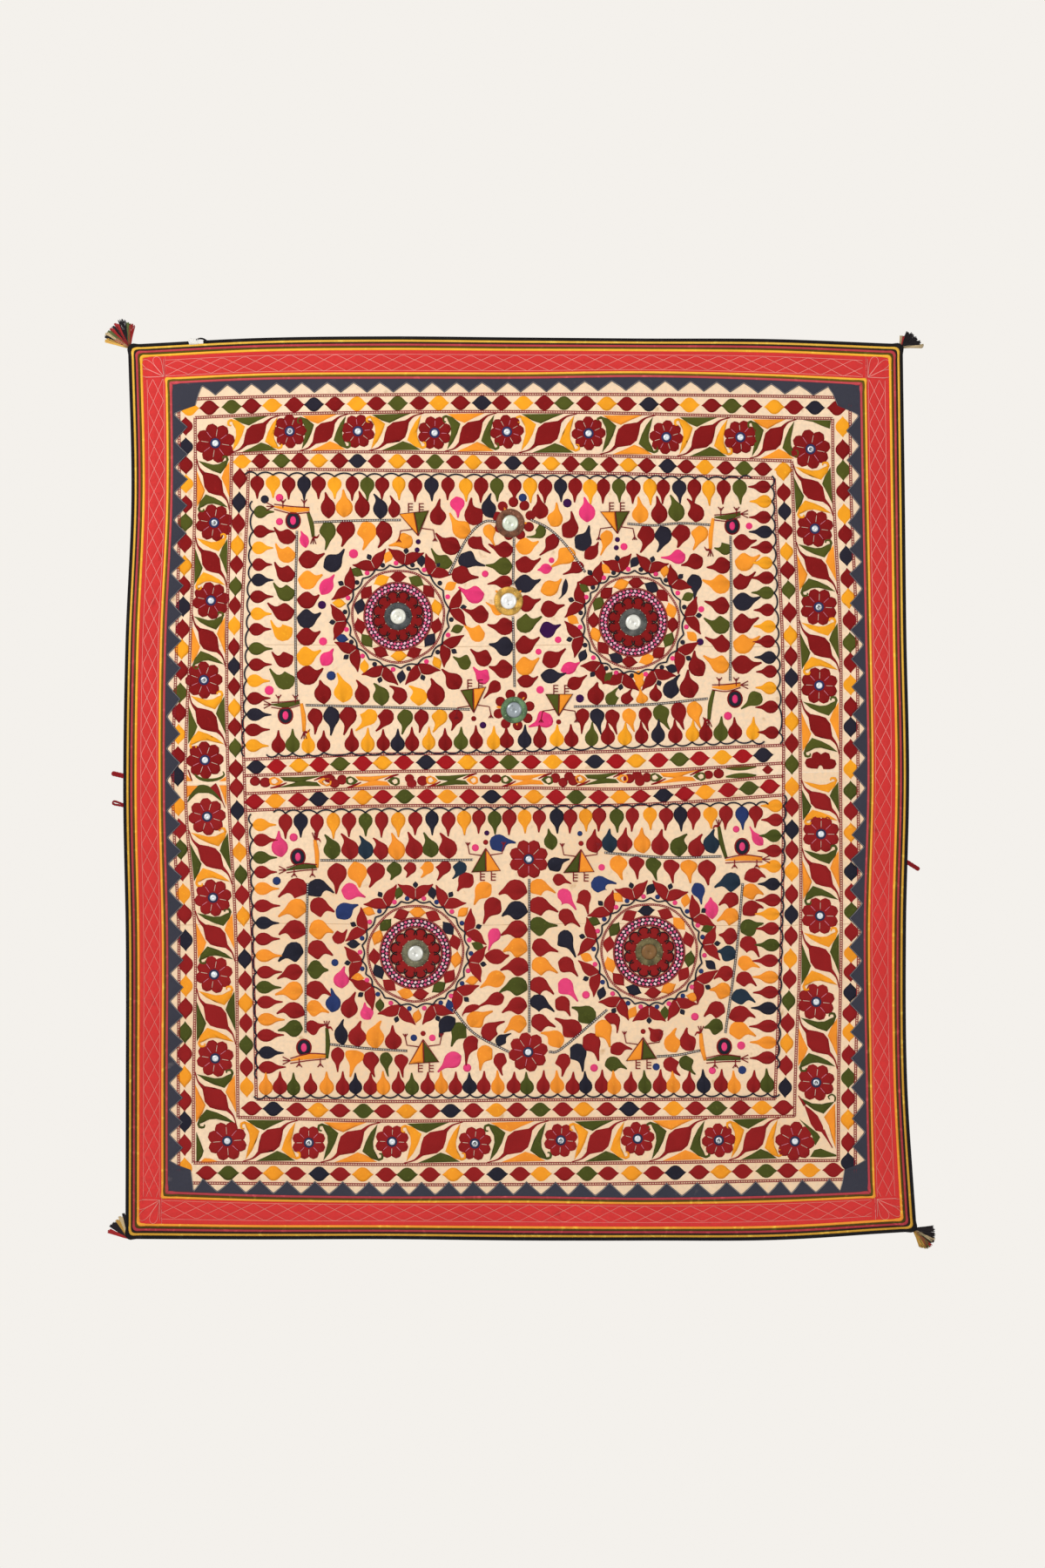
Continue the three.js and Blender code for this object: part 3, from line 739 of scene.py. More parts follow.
for node, x0, z0, depth, bundles in TASSELS:
    low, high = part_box(node)
    base_y = -depth
    skeins = {}
    for b, (angle, length, spread, shade) in enumerate(bundles):
        for i in range(STRANDS):
            share = (i + 0.5) / STRANDS * 2 - 1
            lift = 1.6 * math.sin(7.1 * i + b)
            strand = []
            for t in (0, 0.25, 0.5, 0.75, 1):
                a = math.radians(angle + 2.5 * math.sin(3 * t + i) * t)
                reach = 1.1 * length * t * (0.96 + 0.05 * math.sin(5.3 * i))
                aside = share * mix(1.5, 0.62 * spread, t ** 0.8)
                x = x0 + math.cos(a) * reach - math.sin(a) * aside
                z = z0 + math.sin(a) * reach + math.cos(a) * aside
                y = base_y + lift * (0.5 + 0.5 * t)
                spot = Vector((x, y, z)) / 1000
                for k in range(3):
                    spot[k] = min(max(spot[k], low[k] - TASSEL_STRAY), high[k] + TASSEL_STRAY)
                strand.append(spot)
            skeins.setdefault(shade, []).append(strand)
    stands_for = [node]
    for shade, strands in skeins.items():
        tuft = tubes(f"{node}_{shade}", strands, STRAND_RADIUS, rounds=0)
        piece_of(f"{node}_{shade}_yarn", tuft, yarn_paints[shade], stands_for)
        stands_for = []

# The hanging loops: short dark red cotton cords, each doubled back on itself and sewn to
# the side by both ends, two at the left and one at the right.

# Each loop: where it is sewn, its direction in degrees, length, cord and the eye at its end.
LOOPS = [
    ("loop_left_upper", (-720, -804), 167, 27, 4.6, 0.0),
    ("loop_left_lower", (-720, -858), 165, 26, 3.8, 2.4),
    ("loop_right", (714, -960), -32, 30, 4.0, 0.0),
]
red_cord = yarn_paint("dark_red_cord", (150, 26, 32), (132, 22, 28), twist=300, shine=0.2)
for node, (x0, z0), angle, length, cord, eye in LOOPS:
    low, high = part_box(node)
    centre_y = (low.y + high.y) / 2
    a = math.radians(angle)
    near, wide = 0.46 * cord, 0.46 * cord + eye / 2
    tip = length - cord / 2
    half_loop = [(0, near), (0.3 * tip, near), (0.6 * tip, mix(near, wide, 0.6)), (tip - 1.6 * wide, wide),
                 (tip - 0.35 * wide, 0.8 * wide), (tip, 0)]
    path = []
    for along, beside_it in half_loop + [(along, -aside) for along, aside in half_loop[-2::-1]]:
        x = x0 + along * math.cos(a) - beside_it * math.sin(a)
        z = z0 + along * math.sin(a) + beside_it * math.cos(a)
        path.append(Vector((x / 1000, centre_y, z / 1000)))
    fine = [path[k].lerp(path[k + 1], t / 4) for k in range(len(path) - 1) for t in range(4)]
    across = Vector((-math.sin(a), 0, math.cos(a)))
    plies = []
    for ply in range(3):
        turns = [0.7 * k + 2.094 * ply for k in range(len(fine))]
        plies.append([
            spot + (across * math.cos(turn) + Vector((0, 1, 0)) * math.sin(turn)) * cord * 0.00021
            for spot, turn in zip(fine, turns)
        ])
    piece_of(f"{node}_cord", tubes(node, plies, cord * 0.37, rounds=2), red_cord, [node])

# The large mirrors: round glasses under wide rims of thin pressed metal, ribbed all round
# and tarnished. The glass is clouded with age, and at the lower right it is lost, so that
# its brown backing shows.

MIRRORS = [
    (-13, -339, 26.7, 14.9, "copper_rim", (112, 72, 52), (224, 230, 208)),
    (-16, -482, 26.7, 14.9, "gold_rim", (196, 152, 70), (246, 246, 242)),
    (-6, -682, 24.5, 14.4, "green_rim", (92, 118, 84), (160, 168, 172)),
    (-219, -510, 25.6, 14.4, "grey_rim", (70, 72, 72), (240, 238, 222)),
    (213, -521, 25.6, 14.4, "grey_rim", (86, 86, 82), (236, 234, 222)),
    (-187, -1129, 25.6, 14.4, "grey_rim", (104, 100, 78), (226, 226, 216)),
    (242, -1126, 25.6, 14.4, "brown_rim", (104, 94, 62), (132, 96, 58)),
]
RIBS = 34
RIB_HEIGHT = 0.28
MIRROR_BACK = 1.4
# From a rim's inner edge to its outer one: the share of the way, and the depth.
RIM_PROFILE = [
    (0.0, 1.5), (0.03, 2.1), (0.2, 2.75), (0.5, 2.9), (0.78, 2.4), (0.95, 1.2), (1.0, 0.0), (0.06, 0.0),
]
PANE_LAP = 0.6  # how far a glass runs under its rim
PANE_MIDDLE = 0.4


def turned_rings(bm, x, z, rings, segments, ribs=0, rib_height=0.0):
    """A closed ring of a section turned about a point of the cloth. rings are (radius, depth)."""
    loops = []
    for radius, depth in rings:
        circle = bmesh.ops.create_circle(bm, segments=segments, radius=1)["verts"]
        for i, corner in enumerate(circle):
            a = 2 * math.pi * i / segments
            out = depth + (rib_height * math.cos(ribs * a) if depth > 1.0 + MIRROR_BACK else 0)
            corner.co = lie(x + radius * math.cos(a), z + radius * math.sin(a), out)
        loops.append(list({e for v in circle for e in v.link_edges}))
    for first, second in zip(loops, loops[1:] + loops[:1]):
        bmesh.ops.bridge_loops(bm, edges=first + second)
    bmesh.ops.recalc_face_normals(bm, faces=bm.faces)


def rim_paint(name, shade):
    """Worn sheet metal, tarnished in patches, with a dull gleam."""
    paint, tree, shader = new_paint(name, 0.5, 0.1)
    shader.inputs["Metallic"].default_value = 0.25
    place = tree.nodes.new("ShaderNodeTexCoord").outputs["Object"]
    tarnish = mottle(tree, place, 70, 0.35, 0.68)
    base = blend_colours(tree, tarnish, linear(*[min(255, 1.15 * c) for c in shade]),
                         linear(*[0.66 * c for c in shade]))
    glints = mottle(tree, place, 320, 0.62, 0.75)
    base = blend_colours(tree, glints, base, linear(*[min(255, c * 1.3 + 30) for c in shade]))
    tree.links.new(base, shader.inputs["Base Color"])
    raise_surface(tree, shader, mottle(tree, place, 500, 0.3, 0.7), 0.0004)
    return paint


def glass_paint(name, shade, clear):
    """Old glass, clouded and flecked, or a dull backing where it isn't clear."""
    paint, tree, shader = new_paint(name, 0.3, 0.0)
    shader.inputs["Metallic"].default_value = 0.25 if clear else 0.0
    shader.inputs["Coat Weight"].default_value = 0.5 if clear else 0.0
    place = tree.nodes.new("ShaderNodeTexCoord").outputs["Object"]
    clouds = mottle(tree, place, 60, 0.35, 0.75)
    flecks = mottle(tree, place, 210, 0.64, 0.74)
    base = blend_colours(tree, clouds, linear(*shade), linear(*[0.9 * c for c in shade]))
    base = blend_colours(tree, flecks, base, linear(*[0.6 * c for c in shade]))
    tree.links.new(base, shader.inputs["Base Color"])
    raise_surface(tree, shader, clouds, 0.0003)
    return paint


for number, (x, z, rim, glass, slot, metal, shade) in enumerate(MIRRORS, 1):
    ring = bmesh.new()
    rings = [(mix(glass, rim, share), MIRROR_BACK + depth) for share, depth in RIM_PROFILE]
    turned_rings(ring, x, z, rings, 4 * RIBS, RIBS, RIB_HEIGHT)
    worn_metal = rim_paint(f"rim_{number}_metal", metal)
    piece_of(f"mirror_rim_{number}_wound", ring, worn_metal, [f"mirror_rim_{number}"])
    pane = bmesh.new()
    rings = [
        (glass + PANE_LAP, MIRROR_BACK), (glass + PANE_LAP, MIRROR_BACK + 1.1),
        (glass * 0.6, MIRROR_BACK + 1.25), (PANE_MIDDLE, MIRROR_BACK + 1.3), (PANE_MIDDLE, MIRROR_BACK),
    ]
    turned_rings(pane, x, z, rings, 40)
    clear = number != len(MIRRORS)
    glazing = glass_paint(f"pane_{number}_glass" if clear else "bare_backing", shade, clear)
    piece_of(f"mirror_pane_{number}_glass", pane, glazing,
             [f"mirror_pane_{number}"])

# The stitching: flat patches of close satin stitch in dyed floss, padded at their middles,
# with couched cords and ladders of cross stitches between them. Each patch has its thread's
# run across it. The same few threads serve the whole cloth, a shade duller below the seam.

THREADS = {
    "M": ("maroon", "maroon_thread", (134, 20, 20), (146, 28, 28)),
    "R": ("bright_red", "maroon_thread", (164, 20, 26), (160, 22, 28)),
    "Y": ("yellow", "yellow_thread", (252, 168, 34), (248, 158, 38)),
    "O": ("orange", "yellow_thread", (252, 156, 44), (248, 150, 46)),
    "G": ("green", "green_thread", (82, 86, 28), (72, 78, 26)),
    "N": ("navy", "navy_thread", (38, 36, 48), (34, 34, 46)),
    "P": ("pink", "pink_thread", (238, 60, 122), (232, 68, 122)),
    "U": ("purple", "navy_thread", (56, 14, 70), (56, 18, 70)),
    "B": ("blue", "navy_thread", (40, 56, 104), (40, 56, 104)),
    "T": ("teal", "navy_thread", (34, 48, 60), (34, 50, 64)),
}
STITCH_BASE = GROUND_FACE - 0.3
STITCH_RISE = 0.85
STITCH_WIDTH = 0.9
CROWN = ((0.94, 0.55), (0.56, 1.0))  # share of the width, share of the rise


def floss_paint(name, upper, lower):
    """Satin stitch: a fine rib of threads along u, a soft gleam, uneven dye, and pale specks of painted sheen
    and rubbed ends.
    """
    paint, tree, shader = new_paint(name, 0.75, 0.0)
    place = tree.nodes.new("ShaderNodeTexCoord")
    base = shade_down(tree, place.outputs["Object"], upper, lower, SEAM + 14, SEAM - 14)
    dye = mottle(tree, place.outputs["Object"], 22, 0.3, 0.72)
    base = blend_colours(tree, dye, base, (0.84, 0.80, 0.80, 1), "MULTIPLY")
    rib = bands(tree, place.outputs["UV"], "X", 314 / STITCH_WIDTH, 1.2)
    # Pale specks in a lighter colour: painted sheen on the floss, as well as rubbed ends.
    rubbed_and_sheen = mottle(tree, place.outputs["Object"], 190, 0.6, 0.86)
    pale = linear(*[min(255, 1.08 * c + 6) for c in upper])
    base = blend_colours(tree, rubbed_and_sheen, base, pale)
    tree.links.new(base, shader.inputs["Base Color"])
    raise_surface(tree, shader, add_heights(tree, rib, rubbed_and_sheen, 0.7), 0.00025)
    return paint


floss = {}
for key, (name, _, upper, lower) in THREADS.items():
    floss[key] = floss_paint(f"{name}_floss", upper, lower)
beds = {}
BED_FULL = 1400  # corners in one working mesh, past which the next patches start another


def bed_for(colour):
    stack = beds.setdefault(colour, [])
    if not stack or len(stack[-1].verts) > BED_FULL:
        stack.append(bmesh.new())
    return stack[-1]


def joined(meshes):
    """Several working meshes as one, with their faces turned outwards."""
    whole = bmesh.new()
    for bm in meshes:
        bmesh.ops.recalc_face_normals(bm, faces=bm.faces)
        part = bpy.data.meshes.new("part")
        bm.to_mesh(part)
        bm.free()
        whole.from_mesh(part)
        bpy.data.meshes.remove(part)
    return whole


def satin(colour, outline, anchors, grain, lift=0.0):
    """A padded patch of stitches. Each outline point is drawn in towards its anchor as it rises."""
    bed = bed_for(colour)
    run = bed.loops.layers.uv.verify()
    ring = bmesh.ops.create_circle(bed, cap_ends=True, segments=len(outline), radius=1)["verts"]
    made = list(ring)
    face = ring[0].link_faces[0]
    for corner, (x, z) in zip(ring, outline):
        corner.co = lie(x, z, STITCH_BASE + lift)
    for share, rise in CROWN:
        order = {corner.co.to_tuple(6): i for i, corner in enumerate(ring)}
        raised, (face,) = extruded(bed, [face])
        raised.sort(key=lambda corner: order[corner.co.to_tuple(6)])
        depth = GROUND_FACE + STITCH_RISE * rise + lift
        for corner, (x, z), (ax, az) in zip(raised, outline, anchors):
            corner.co = lie(mix(ax, x, share), mix(az, z, share), depth)
        ring = raised
        made += raised
    c, s = math.cos(grain), math.sin(grain)
    for corner in made:
        u, v = corner.co.x * c + corner.co.z * s, corner.co.z * c - corner.co.x * s
        for loop in corner.link_loops:
            loop[run].uv = (u, v)


def through(points, t):
    """A smooth curve through points or rows of numbers."""
    return tuple(curve_through(values, t) for values in zip(*points))


def along_line(colour, stations, start, end):
    """A patch along a line: at each station a place, the line's direction and half the width."""
    left, right, line = [], [], []
    for x, z, dx, dz, half in stations:
        run = math.hypot(dx, dz) or 1
        left.append((x - dz / run * half, z + dx / run * half))
        right.append((x + dz / run * half, z - dx / run * half))
        line.append((x, z))
    grain = math.atan2(end[1] - start[1], end[0] - start[0])
    satin(colour, left + right[::-1], line + line[::-1], grain)


def ribbon(colour, spine, widths, count=9):
    """A patch along a curved spine, its half widths given at even steps along it."""
    stations = []
    for i in range(count):
        t = i / (count - 1)
        ahead, behind = through(spine, min(1, t + 0.02)), through(spine, max(0, t - 0.02))
        half = max(0.25, curve_through(widths, t))
        stations.append((*through(spine, t), ahead[0] - behind[0], ahead[1] - behind[1], half))
    along_line(colour, stations, spine[0], spine[-1])


# Down a leaf from its foot to its tail: the place, and the share of its width there.
LEAF_SHAPE = (
    (0, 0.08), (0.06, 0.46), (0.14, 0.80), (0.25, 1.0), (0.38, 1.02), (0.49, 0.90), (0.58, 0.68),
    (0.66, 0.44), (0.75, 0.27), (0.88, 0.17), (1.0, 0.08),
)


def leaf(colour, blunt, body, tail, width):
    """A leaf that is pointed at its foot, widest a third of the way up, with a curved tail."""
    at = 0.4
    bend = [(c - (1 - at) ** 2 * b - at * at * e) / (2 * at * (1 - at)) for b, c, e in zip(blunt, body, tail)]
    stations = []
    for t, share in LEAF_SHAPE:
        x, z = ((1 - t) ** 2 * b + 2 * t * (1 - t) * q + t * t * e for b, q, e in zip(blunt, bend, tail))
        dx, dz = ((1 - t) * (q - b) + t * (e - q) for b, q, e in zip(blunt, bend, tail))
        stations.append((x, z, dx, dz, 0.56 * width * share + 0.2))
    along_line(colour, stations, blunt, tail)


def at_turn(x, z, u, v, turn):
    """The place u along and v to the left of a direction, from (x, z)."""
    c, s = math.cos(turn), math.sin(turn)
    return x + u * c - v * s, z + u * s + v * c


def oval(colour, x, z, across, up=None, turn=0.0, sides=12, lift=0.0):
    """A round or oval patch."""
    up = up or across
    outline = []
    for i in range(sides):
        a = 2 * math.pi * (i + 0.5) / sides
        outline.append(at_turn(x, z, across * math.cos(a), up * math.sin(a), turn))
    satin(colour, outline, [(x, z)] * sides, turn, lift)


DIAMOND_SHAPE = ((1, 0.07), (0.88, 0.12), (0.74, 0.29), (0.56, 0.57), (0.35, 0.86), (0.13, 1.0))


def diamond(colour, x, z, long, short, turn):
    """A diamond with round shoulders and drawn-out ends, its long way at a turn from the right."""
    top = list(DIAMOND_SHAPE) + [(-along, out) for along, out in DIAMOND_SHAPE[:0:-1]]
    outline = []
    for side_of in (1, -1):
        for along, out in top:
            outline.append(at_turn(x, z, side_of * long / 2 * along, side_of * short / 2 * out, turn))
    satin(colour, outline, [(x, z)] * len(outline), turn)


def part_way(start, end, t):
    return tuple(mix(a, b, t) for a, b in zip(start, end))


def patch(colour, corners, parts=3):
    """A patch with straight sides between corners, each side in so many parts."""
    outline = []
    for start, end in zip(corners, corners[1:] + corners[:1]):
        outline += [part_way(start, end, k / parts) for k in range(parts)]
    middle_of = tuple(sum(values) / len(corners) for values in zip(*corners))
    satin(colour, outline, [middle_of] * len(outline), 0.6)


def sew(part):
    """Finishes the patches stitched since the last time, a piece for each thread."""
    for colour, stack in beds.items():
        name, slot, _, _ = THREADS[colour]
        piece_of(f"{part}_{name}", joined(stack), floss[colour])
    beds.clear()


# The lines that divide the design, each where it lies and how it strays, at even steps.
COLUMNS = {
    "L1": (-622, (-2, 1, -4, -11, 0, -1, 1)),
    "L2": (-594, (0, 2, -7, -16, 2, -1, -1)),
    "L3": (-518, (-5, -8, -16, -13, 1, 4, 8)),
    "L4": (-486, (-7, -9, -21, -15, -1, 6, 11)),
    "R4": (486, (-22, -13, 1, 3, -1, -12, -19)),
    "R3": (518, (-20, -12, -1, 2, 2, -8, -9)),
    "R2": (594, (-15, -13, 0, 0, 1, -4, -4)),
    "R1": (622, (-11, -9, 2, 4, 5, -1, 0)),
}
ROWS = {
    "T1": (-104, (-12, -3, 1, 2, 1, -2, -7)),
    "T2": (-139, (-13, -1, 4, 5, 1, -6, -10)),
    "T3": (-214, (-10, 4, 6, 2, -3, -10, -18)),
    "T4": (-246, (-5, 6, 4, 1, -3, -11, -20)),
    "M1": (-762, (-20, -10, -1, 0, 6, 15, 24)),
    "M2": (-793, (-17, -9, -2, -1, -1, 13, 30)),
    "seam": (-810, (-9, -7, -4, 0, 5, 12, 18)),
    "M3": (-825, (-17, -10, 0, 0, -1, 21, 25)),
    "M4": (-857, (-18, -9, -1, -1, 2, 18, 36)),
    "B4": (-1398, (8, 1, -3, 0, 1, 2, 3)),
    "B3": (-1432, (6, 1, -5, -2, 1, 4, 6)),
    "B2": (-1514, (-1, 0, -3, -1, 1, 4, 5)),
    "B1": (-1552, (2, 0, -2, -1, 1, 6, 10)),
}


def column(name, z):
    at, strays = COLUMNS[name]
    return at + curve_through(strays, -z / 1650)


def row(name, x):
    at, strays = ROWS[name]
    return at + curve_through(strays, (x + 720) / 1440)


def crossing(column_name, row_name):
    x = COLUMNS[column_name][0]
    for _ in range(3):
        z = row(row_name, x)
        x = column(column_name, z)
    return x, z


def even(start, end, step):
    return [*spaced(start, end, step), end]


def row_line(name, left, right, step=8):
    return [(x, row(name, x)) for x in even(crossing(left, name)[0], crossing(right, name)[0], step)]


def column_line(name, top, foot, step=8):
    return [(column(name, z), z) for z in even(crossing(name, top)[1], crossing(name, foot)[1], step)]


def stepped(line, step):
    """Points at even steps along a line, each with its direction."""
    out, left = [], step / 2
    for (x0, z0), (x1, z1) in zip(line, line[1:]):
        run = math.hypot(x1 - x0, z1 - z0)
        while left < run:
            out.append((mix(x0, x1, left / run), mix(z0, z1, left / run), math.atan2(z1 - z0, x1 - x0)))
            left += step
        left -= run
    return out


def beside(line, aside):
    """The line that runs at a distance to the left of another."""
    out = []
    for i, (x, z) in enumerate(line):
        x0, z0 = line[max(0, i - 1)]
        x1, z1 = line[min(len(line) - 1, i + 1)]
        run = math.hypot(x1 - x0, z1 - z0) or 1
        out.append((x - (z1 - z0) / run * aside, z + (x1 - x0) / run * aside))
    return out


def smooth_line(points, step=7):
    """A curve through a few places, as a close line."""
    length = sum(math.hypot(b[0] - a[0], b[1] - a[1]) for a, b in zip(points, points[1:]))
    count = max(4, round(length / step))
    return [through(points, i / count) for i in range(count + 1)]


# The ladders: pairs of red cords couched down, with pale cross stitches between them. Dark
# ladders are the same in navy. Single navy cords run in scallops.

CORD = 0.75
RED_LADDER, DARK_LADDER, NAVY_CORD, MAROON_CORD = [], [], [], []
RUNGS = {"red": [], "white": []}


def ladder(line, gap=3.9, pitch=4.4, dark=False):
    lines = DARK_LADDER if dark else RED_LADDER
    lines += [beside(line, gap / 2), beside(line, -gap / 2)]
    RUNGS["white" if dark else "red"].extend((x, z, a, gap - 0.6) for x, z, a in stepped(line, pitch))


def laid(lines, depth):
    return [[lie(x, z, depth) for x, z in line] for line in lines]


def rungs(spots, depth, size):
    """Short cross stitches, each a small raised bar across its line."""
    stack = []
    for i, (x, z, a, width) in enumerate(spots):
        if i % 150 == 0:
            stack.append(bmesh.new())
        turn = Matrix.Rotation(-a, 4, "Y")
        scale = Matrix.Diagonal((size / 1000, 0.9 / 1000, width / 1000, 1))
        bmesh.ops.create_cube(stack[-1], size=1, matrix=Matrix.Translation(lie(x, z, depth)) @ turn @ scale)
    return joined(stack)


# Four frames of ladders, one inside another, the outermost laid last.
for rank in "2341":
    left, right, top, foot = f"L{rank}", f"R{rank}", f"T{rank}", f"B{rank}"
    ladder(row_line(top, left, right))
    ladder(row_line(foot, left, right))
    ladder(column_line(left, top, foot))
    ladder(column_line(right, top, foot))
for name in ("M1", "M2", "M3", "M4"):
    ladder(row_line(name, "L4", "R4"))

# The diamond borders: rows of satin diamonds, tip to tip, in a repeat of maroon, yellow,
# green and navy, outside and inside the flower border and across the middle.

DIAMOND_ACROSS = 27
DIAMOND_INNER = 26
# Each run: the two lines that it lies between, its first and last centre, its colours.
DIAMONDS_ACROSS = [
    ("T1", "T2", -603, 586, "YMGMYMNM" * 4),
    ("T3", "T4", -506, 488, "YMGMYMNM" * 3 + "YMGMY"),
    ("B2", "B1", -571, 579, "MGMYMNMY" * 3 + "MGMYM"),
    ("B4", "B3", -488, 490, "MNMYMGMY" * 3 + "M"),
    ("M1", "M2", -480, 453, "NMYMGMYM" * 3 + "N"),
    ("M3", "M4", -483, 465, "MYMNMYMG" * 3 + "M"),
]
DIAMONDS_DOWN = [
    ("L1", "L2", -162, -338, "MNMYMG"), ("L1", "L2", -376, -805, "MYMNMYMGMYMN"),
    ("L1", "L2", -859, -1058, "YMGMYM"), ("L1", "L2", -1106, -1523, "NMYMGMYMNMY"),
    ("L3", "L4", -258, -381, "MNMY"), ("L3", "L4", -416, -789, "MGMYMNMYMGM"),
    ("L3", "L4", -826, -1376, "MNMYGMYMNMYMGMY"),
    ("R2", "R1", -163, -754, "YMGMYMNMYMGMYMNM"), ("R2", "R1", -792, -829, "YG"),
    ("R2", "R1", -869, -1275, "MYMNMGMYMNMY"), ("R2", "R1", -1317, -1514, "MGMYMN"),
    ("R4", "R3", -245, -462, "YMNMYMG"), ("R4", "R3", -504, -744, "MYMNMYM"),
    ("R4", "R3", -783, -822, "GY"), ("R4", "R3", -861, -1374, "MNMYMNMYMGMYMN"),
]
for near, far, first, last, colours in DIAMONDS_ACROSS:
    pitch = (last - first) / (len(colours) - 1)
    for i, colour in enumerate(colours):
        x = first + pitch * i + 1.5 * math.sin(4.1 * i)
        z = (row(near, x) + row(far, x)) / 2
        slope = math.atan2(row(near, x + 9) - row(near, x - 9), 18)
        wide = min(DIAMOND_ACROSS, abs(row(near, x) - row(far, x)) - 4)
        shade = "R" if colour == "M" and near in ("M1", "M3") else colour
        diamond(shade, x, z, pitch + 1.2, wide + math.sin(2.7 * i), slope)
for near, far, first, last, colours in DIAMONDS_DOWN:
    pitch = abs(last - first) / (len(colours) - 1)
    for i, colour in enumerate(colours):
        z = first - pitch * i + 1.5 * math.sin(4.1 * i + 1)
        x = (column(near, z) + column(far, z)) / 2
        lean = math.atan2(column(near, z + 9) - column(near, z - 9), 18)
        outer = near[1] in "12" and far[1] in "12"
        between = abs(column(near, z) - column(far, z))
        wide = DIAMOND_ACROSS if outer else min(DIAMOND_INNER, between - 4.5)
        shift = math.copysign(2.5, x) if outer else 0
        diamond(colour, x + shift, z, pitch + 1.2, wide + math.sin(2.7 * i), math.pi / 2 - lean)
sew("diamonds")

# The flower border: round maroon flowers with eight petals about a small glass held in a
# ring of navy stitches, and between them spindles, curled crescents and pointed patches.

FLOWERS = {
    "top": [
        (-555, -192), (-418, -170), (-293, -170), (-152, -173), (-19, -171), (131, -174), (274, -181),
        (410, -181), (539, -203),
    ],
    "right": [
        (539, -203), (547, -349), (554, -493), (555, -637), (557, -789), (558, -910), (556, -1060),
        (549, -1218), (549, -1366), (510, -1474),
    ],
    "left": [
        (-555, -192), (-557, -338), (-563, -481), (-576, -627), (-574, -774), (-570, -878), (-559, -1027),
        (-557, -1168), (-555, -1322), (-533, -1474),
    ],
    "foot": [
        (-533, -1474), (-383, -1477), (-230, -1475), (-78, -1478), (80, -1472), (221, -1469),
        (370, -1472), (510, -1474),
    ],
}
FLOWER_REACH = 31
CORNER_REACH = 36
FLOWER_PETALS = 8
FLOWER_GLASS = 6
FLOWER_RING = 9.5
flower_glasses, flower_rings, pale_dashes, pink_dashes = [], [], [], []


def petal(x, z, inner, outer, angle, half):
    """A petal that widens as it goes out and has a round end."""
    spine = [at_turn(x, z, mix(inner, outer, t), 0, angle) for t in (0, 0.25, 0.5, 0.75, 1)]
    ribbon("M", spine, (0.5 * half, 0.8 * half, 1.04 * half, 1.04 * half, 0.45 * half), 10)


def flower(x, z, reach, turn=0.0):
    """Petals round a small glass, with a short pale or pink stitch between each two."""
    half = reach * 0.78 * math.sin(math.pi / FLOWER_PETALS)
    for i in range(FLOWER_PETALS):
        a = turn + 2 * math.pi * i / FLOWER_PETALS
        petal(x, z, FLOWER_RING - 1, reach, a, half)
        b = a + math.pi / FLOWER_PETALS
        inner, outer = FLOWER_RING + 3, reach * 0.72
        dashes = pink_dashes if i % 2 else pale_dashes
        dashes.append([at_turn(x, z, r, 0, b) for r in (inner, outer)])
    flower_glasses.append((x, z, FLOWER_GLASS))
    flower_rings.append((x, z, FLOWER_RING, FLOWER_GLASS))


# The two lines that each side's border lies between, in the order that n runs below.
BORDER_LINES = {"top": ("T3", "T2"), "right": ("R3", "R2"), "left": ("L2", "L3"), "foot": ("B2", "B3")}
CORNER_DRAWN_IN = 10  # how far a unit starts from a corner flower's middle


def border_unit(side_name, start, end, greens_outside):
    """What lies between two flowers: a spindle, two crescents and two pointed patches."""
    near, far = BORDER_LINES[side_name]
    level = side_name in ("top", "foot")
    a, b = (start[0], end[0]) if level else (start[1], end[1])
    forward = 1 if b > a else -1
    drawn_in = 1 if level else 6
    a += forward * (CORNER_DRAWN_IN if start in corners else drawn_in)
    b -= forward * (CORNER_DRAWN_IN if end in corners else drawn_in)

    def spot(s, n):
        """s runs along from the unit's middle, 69 at a flower, and n across it, 36 at a line."""
        at = mix(a, b, 0.5 + s / 138)
        share = 0.5 + n / 72
        if level:
            return at, mix(row(near, at), row(far, at), share)
        return mix(column(near, at), column(far, at), share), at

    def spots(k, *places_of):
        return [spot(k * s, k * n) for s, n in places_of]

    points, curls = ("G", "Y") if greens_outside else ("O", "G")
    for k in (1, -1):
        crescent = spots(k, (-49, 31), (-35, 27), (-19.5, 15), (-25.5, -2), (-34, -18), (-46, -32),
                         (-41, -14), (-38, -2), (-39, 12), (-43, 21))
        patch(curls, crescent, 2)
        ribbon(curls, spots(k, (-46, 28), (-53, 26), (-53, 19), (-48, 18)), (2.4, 2.4, 2.0, 1.2), 7)
        patch(points, spots(k, (-46, 32), (28, 33.5), (7, 25), (-12, 16), (-27, 21), (-38, 27.5)), 2)
        ribbon("M", spots(k, (19, 18), (32, 28.5), (50, 33.5)), (4.0, 1.6, 0.9), 7)
    body = spots(1, (-25, -23), (-21, -2), (-17, 9.5), (-6, 18), (25, 23), (21, 2), (17, -9.5), (6, -18))
    patch("M", body, 2)


corners = {FLOWERS[name][end] for name in ("left", "right") for end in (0, -1)}
HALF_FLOWER = (557, -789)  # cut through by the seam, so only its upper petals are there
for side_name, centres in FLOWERS.items():
    for i, (start, end) in enumerate(zip(centres, centres[1:])):
        if (side_name, i) not in (("left", 4), ("right", len(centres) - 2)):
            border_unit(side_name, start, end, (i % 2 == 0) == (side_name in ("top", "right", "foot")))
placed_flowers = {spot: side_name for side_name, centres in FLOWERS.items() for spot in centres}
for (x, z), side_name in placed_flowers.items():
    reach = CORNER_REACH if (x, z) in corners else FLOWER_REACH + (3 if side_name in ("left", "right") else 0)
    if (x, z) == HALF_FLOWER:
        for angle in (20, 65, 110, 155):
            petal(x, z + 1, 4, 30, math.radians(angle), 9)
    else:
        flower(x, z, reach, turn=0.3 + 0.01 * x)

